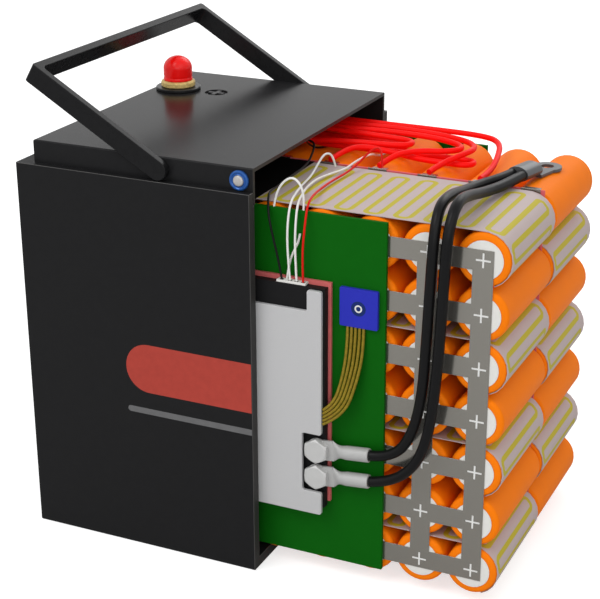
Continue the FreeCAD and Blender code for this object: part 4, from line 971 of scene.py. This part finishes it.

# %% [markdown]
# The films are bent next, one for every other row of each block. A pink sheet parts the blocks,
# and under the lid a near-black sheet lies on the top film, up to 59 mm along X.

# %% Heating films and sheets


def film_piece(front, level):
    """One film: a flat grid bent over its row and round the row's last cell."""
    bpy.ops.mesh.primitive_grid_add(x_subdivisions=64, y_subdivisions=4, size=1, calc_uvs=True)
    film = bpy.context.object
    film.data.uv_layers[0].name = "flat"
    centre_z = FIRST_Z + level * PITCH
    flat_part = LAST_X - FIRST_X
    for vertex in film.data.vertices:
        run = (vertex.co.x + 0.5) * FILM_LENGTH
        y = front + 1.0 + (vertex.co.y + 0.5) * FILM_WIDTH
        if run <= flat_part:
            x, z = FIRST_X + run, centre_z + FILM_RADIUS
        else:
            angle = math.pi / 2 - (run - flat_part) / FILM_RADIUS
            x = LAST_X + FILM_RADIUS * math.cos(angle)
            z = centre_z + FILM_RADIUS * math.sin(angle)
        vertex.co = (x * MM, y * MM, z * MM)
    thick = film.modifiers.new("thickness", "SOLIDIFY")
    thick.thickness = FILM_THICKNESS * MM
    thick.offset = 0
    apply_modifiers(film)
    return film


fronts = [film_piece(CELL_FRONT, level) for level in (0, 2, 4, 6)]
dress(join(fronts), "front_films", HEATER_FILM, "battery", "front_heating_films", angle=50)
backs = [film_piece(BACK_FRONT, level) for level in (1, 3, 5)]
dress(join(backs), "back_films", HEATER_FILM, "battery", "back_heating_films", angle=50)
rounded("separator_sheet", "block_separator", 0.2, SEPARATOR_PINK)
FILM_TOP = CREST + FILM_RADIUS - CELL_RADIUS + FILM_THICKNESS / 2
# A near-black sheet on the top film under the lid, from the first cell's edge to 59 mm along X.
BLACK_SHEET_END = 59.0
under_lid_sheet = box_piece((FIRST_X - CELL_RADIUS, CELL_FRONT + 0.4, FILM_TOP + 0.01),
                        (BLACK_SHEET_END, CELL_FRONT + CELL_LENGTH, FILM_TOP + 0.16), 0.05)
dress(under_lid_sheet, "black_sheet_under_lid", UNDER_LID_BLACK, "battery")
print("film length:", round(FILM_LENGTH, 1), "mm")

# %% [markdown]
# The boards are green lacquer over glass fibre. The guard board carries a moulded black body and
# an aluminium plate that spreads its heat. The tops of both lie a little lower on the photographed
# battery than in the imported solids, so the level edges there come down before they are eased.

# %% Boards and guard
rounded("front_circuit_board", "front_board", 0.15, BOARD_GREEN)
rounded("back_circuit_board", "back_board", 0.15, BOARD_GREEN)
rounded("guard_circuit_board", "guard_board", 0.12, BOARD_SALMON)
BODY_DROP = 1.5
PLATE_DROP = 1.2
trimmed("guard_moulding", "guard_body", 0.25, GUARD_BLACK, 0.5, BODY_DROP)
trimmed("heat_spreader", "heat_plate", 0.3, PLATE_ALUMINIUM, 1.0, PLATE_DROP)
rounded("outlet_ring_lug", "outlet_lug", 0.25, LUG_GREY)

# %% [markdown]
# The two cables are held by hexagon bolts over crimped lugs. A bolt head is a hexagon whose front
# corners are turned off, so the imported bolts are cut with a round, chamfered shape by a Boolean
# modifier. A lug is a round eye, a flat tongue and a barrel: a circle is drawn out along the
# barrel's axis and changes from a flat oval to a round tube on the way.

# %% Bolts and lugs
BOLTS = (71.0, 56.9)
BOLT_X = 94.9
BOLT_FACE = low("guard_bolts")[1]
BOLT_REACH = 7.6
CUTTER_PROFILE = [(0, 0), (5.35, 0), (6.95, 0.95), (6.95, BOLT_REACH), (0, BOLT_REACH)]
cutters = []
for height in BOLTS:
    cutters.append(turned(CUTTER_PROFILE, (BOLT_X, BOLT_FACE, height), axis="Y", sides=48))
cutter = join(cutters)
bolts = copy_solid("guard_bolts")
chamfer = bolts.modifiers.new("chamfer", "BOOLEAN")
chamfer.operation = "INTERSECT"
chamfer.object = cutter
apply_modifiers(bolts)
bpy.data.objects.remove(cutter)
dress(bolts, "guard_hex_bolts", TINNED, "battery", "guard_bolts", angle=25)

LUG_MIDDLE = -75.3
LUG_TILT = 5.0
LUG_RINGS = [(8.2, 5.2, 0.66), (8.9, 5.15, 0.8), (9.8, 4.5, 1.2), (10.8, 3.75, 1.9),
             (11.8, 3.3, 2.6), (12.9, 3.15, 3.0), (14.2, 3.3, 3.25), (15.6, 3.5, 3.5),
             (26.8, 3.5, 3.5), (27.25, 3.4, 3.4), (27.4, 3.2, 3.2), (27.4, 2.7, 2.7),
             (25.5, 2.62, 2.62)]
TONGUE = 0.7
EYE_PROFILE = [(3.2, -TONGUE), (5.6, -TONGUE), (5.9, -0.45), (5.9, 0.45), (5.6, TONGUE),
               (3.2, TONGUE)]
lugs = []
for height in BOLTS:
    tongue = box_piece((3.0, -5.3, -TONGUE), (8.7, 5.3, TONGUE), 0.25)
    tongue.data.transform(Matrix.Rotation(math.radians(90), 4, "X"))
    eye = turned(EYE_PROFILE, (0, 0, 0), axis="Y", sides=48, closed=True)
    tube = drawn_out(LUG_RINGS)
    tube.data.transform(Matrix.Rotation(math.radians(90), 4, "Y"))
    lug = join([tube, tongue, eye])
    lug.data.transform(Matrix.Translation((BOLT_X * MM, LUG_MIDDLE * MM, height * MM))
                       @ Matrix.Rotation(math.radians(-LUG_TILT), 4, "Y"))
    lugs.append(lug)
dress(join(lugs), "guard_cable_lugs", LUG_TIN, "battery", "guard_lugs", angle=40)

# %% [markdown]
# The sense socket is a white shell with four dark entries on top, one for each wire that starts
# there.

# %% Socket
socket_low, socket_high = low("guard_socket"), high("guard_socket")
SOCKET_TOP = 156.7
SOCKET_HEIGHT = 1.2
shell = box_piece((socket_low[0], socket_low[1], SOCKET_TOP - SOCKET_HEIGHT),
                  (socket_high[0] - 1.0, socket_high[1], SOCKET_TOP), 0.2)
dress(shell, "sense_socket", SOCKET_WHITE, "battery", "guard_socket")
entries = []
for node in ("sense_black", "sense_white_1", "sense_white_2", "sense_red"):
    wire_x, wire_y = SENSE_ROUTES[node][2][0][:2]
    entries.append(box_piece((wire_x - 0.9, wire_y - 0.8, SOCKET_TOP - 0.3),
                             (wire_x + 0.9, wire_y + 0.8, SOCKET_TOP + 0.06), 0.1))
dress(join(entries), "socket_entries", SOCKET_DARK, "battery")

# %% [markdown]
# The radio module is a blue tile with eased corners. It carries a plain dark disc with a small
# white ring, both turned from thin profiles and laid on its face.

# %% Module
rounded("radio_tile", "radio_module", 0.25, MODULE_BLUE)
MODULE_FACE = low("radio_module")[1]
MODULE_MIDDLE = [(a + b) / 2 for a, b in zip(low("radio_module")[::2], high("radio_module")[::2])]
disc = turned([(0, 0.06), (3.6, 0.06), (3.7, 0.0), (3.7, -0.1), (0, -0.1)],
              (MODULE_MIDDLE[0], MODULE_FACE, MODULE_MIDDLE[1]), axis="-Y", sides=40)
dress(disc, "module_disc", MODULE_DARK, "battery")
dot = turned([(1.2, 0.1), (1.9, 0.1), (1.9, 0.0), (1.2, 0.0)],
             (MODULE_MIDDLE[0], MODULE_FACE - 0.06, MODULE_MIDDLE[1]), axis="-Y", sides=32,
             closed=True)
dress(dot, "module_ring", WELD_BRIGHT, "battery")
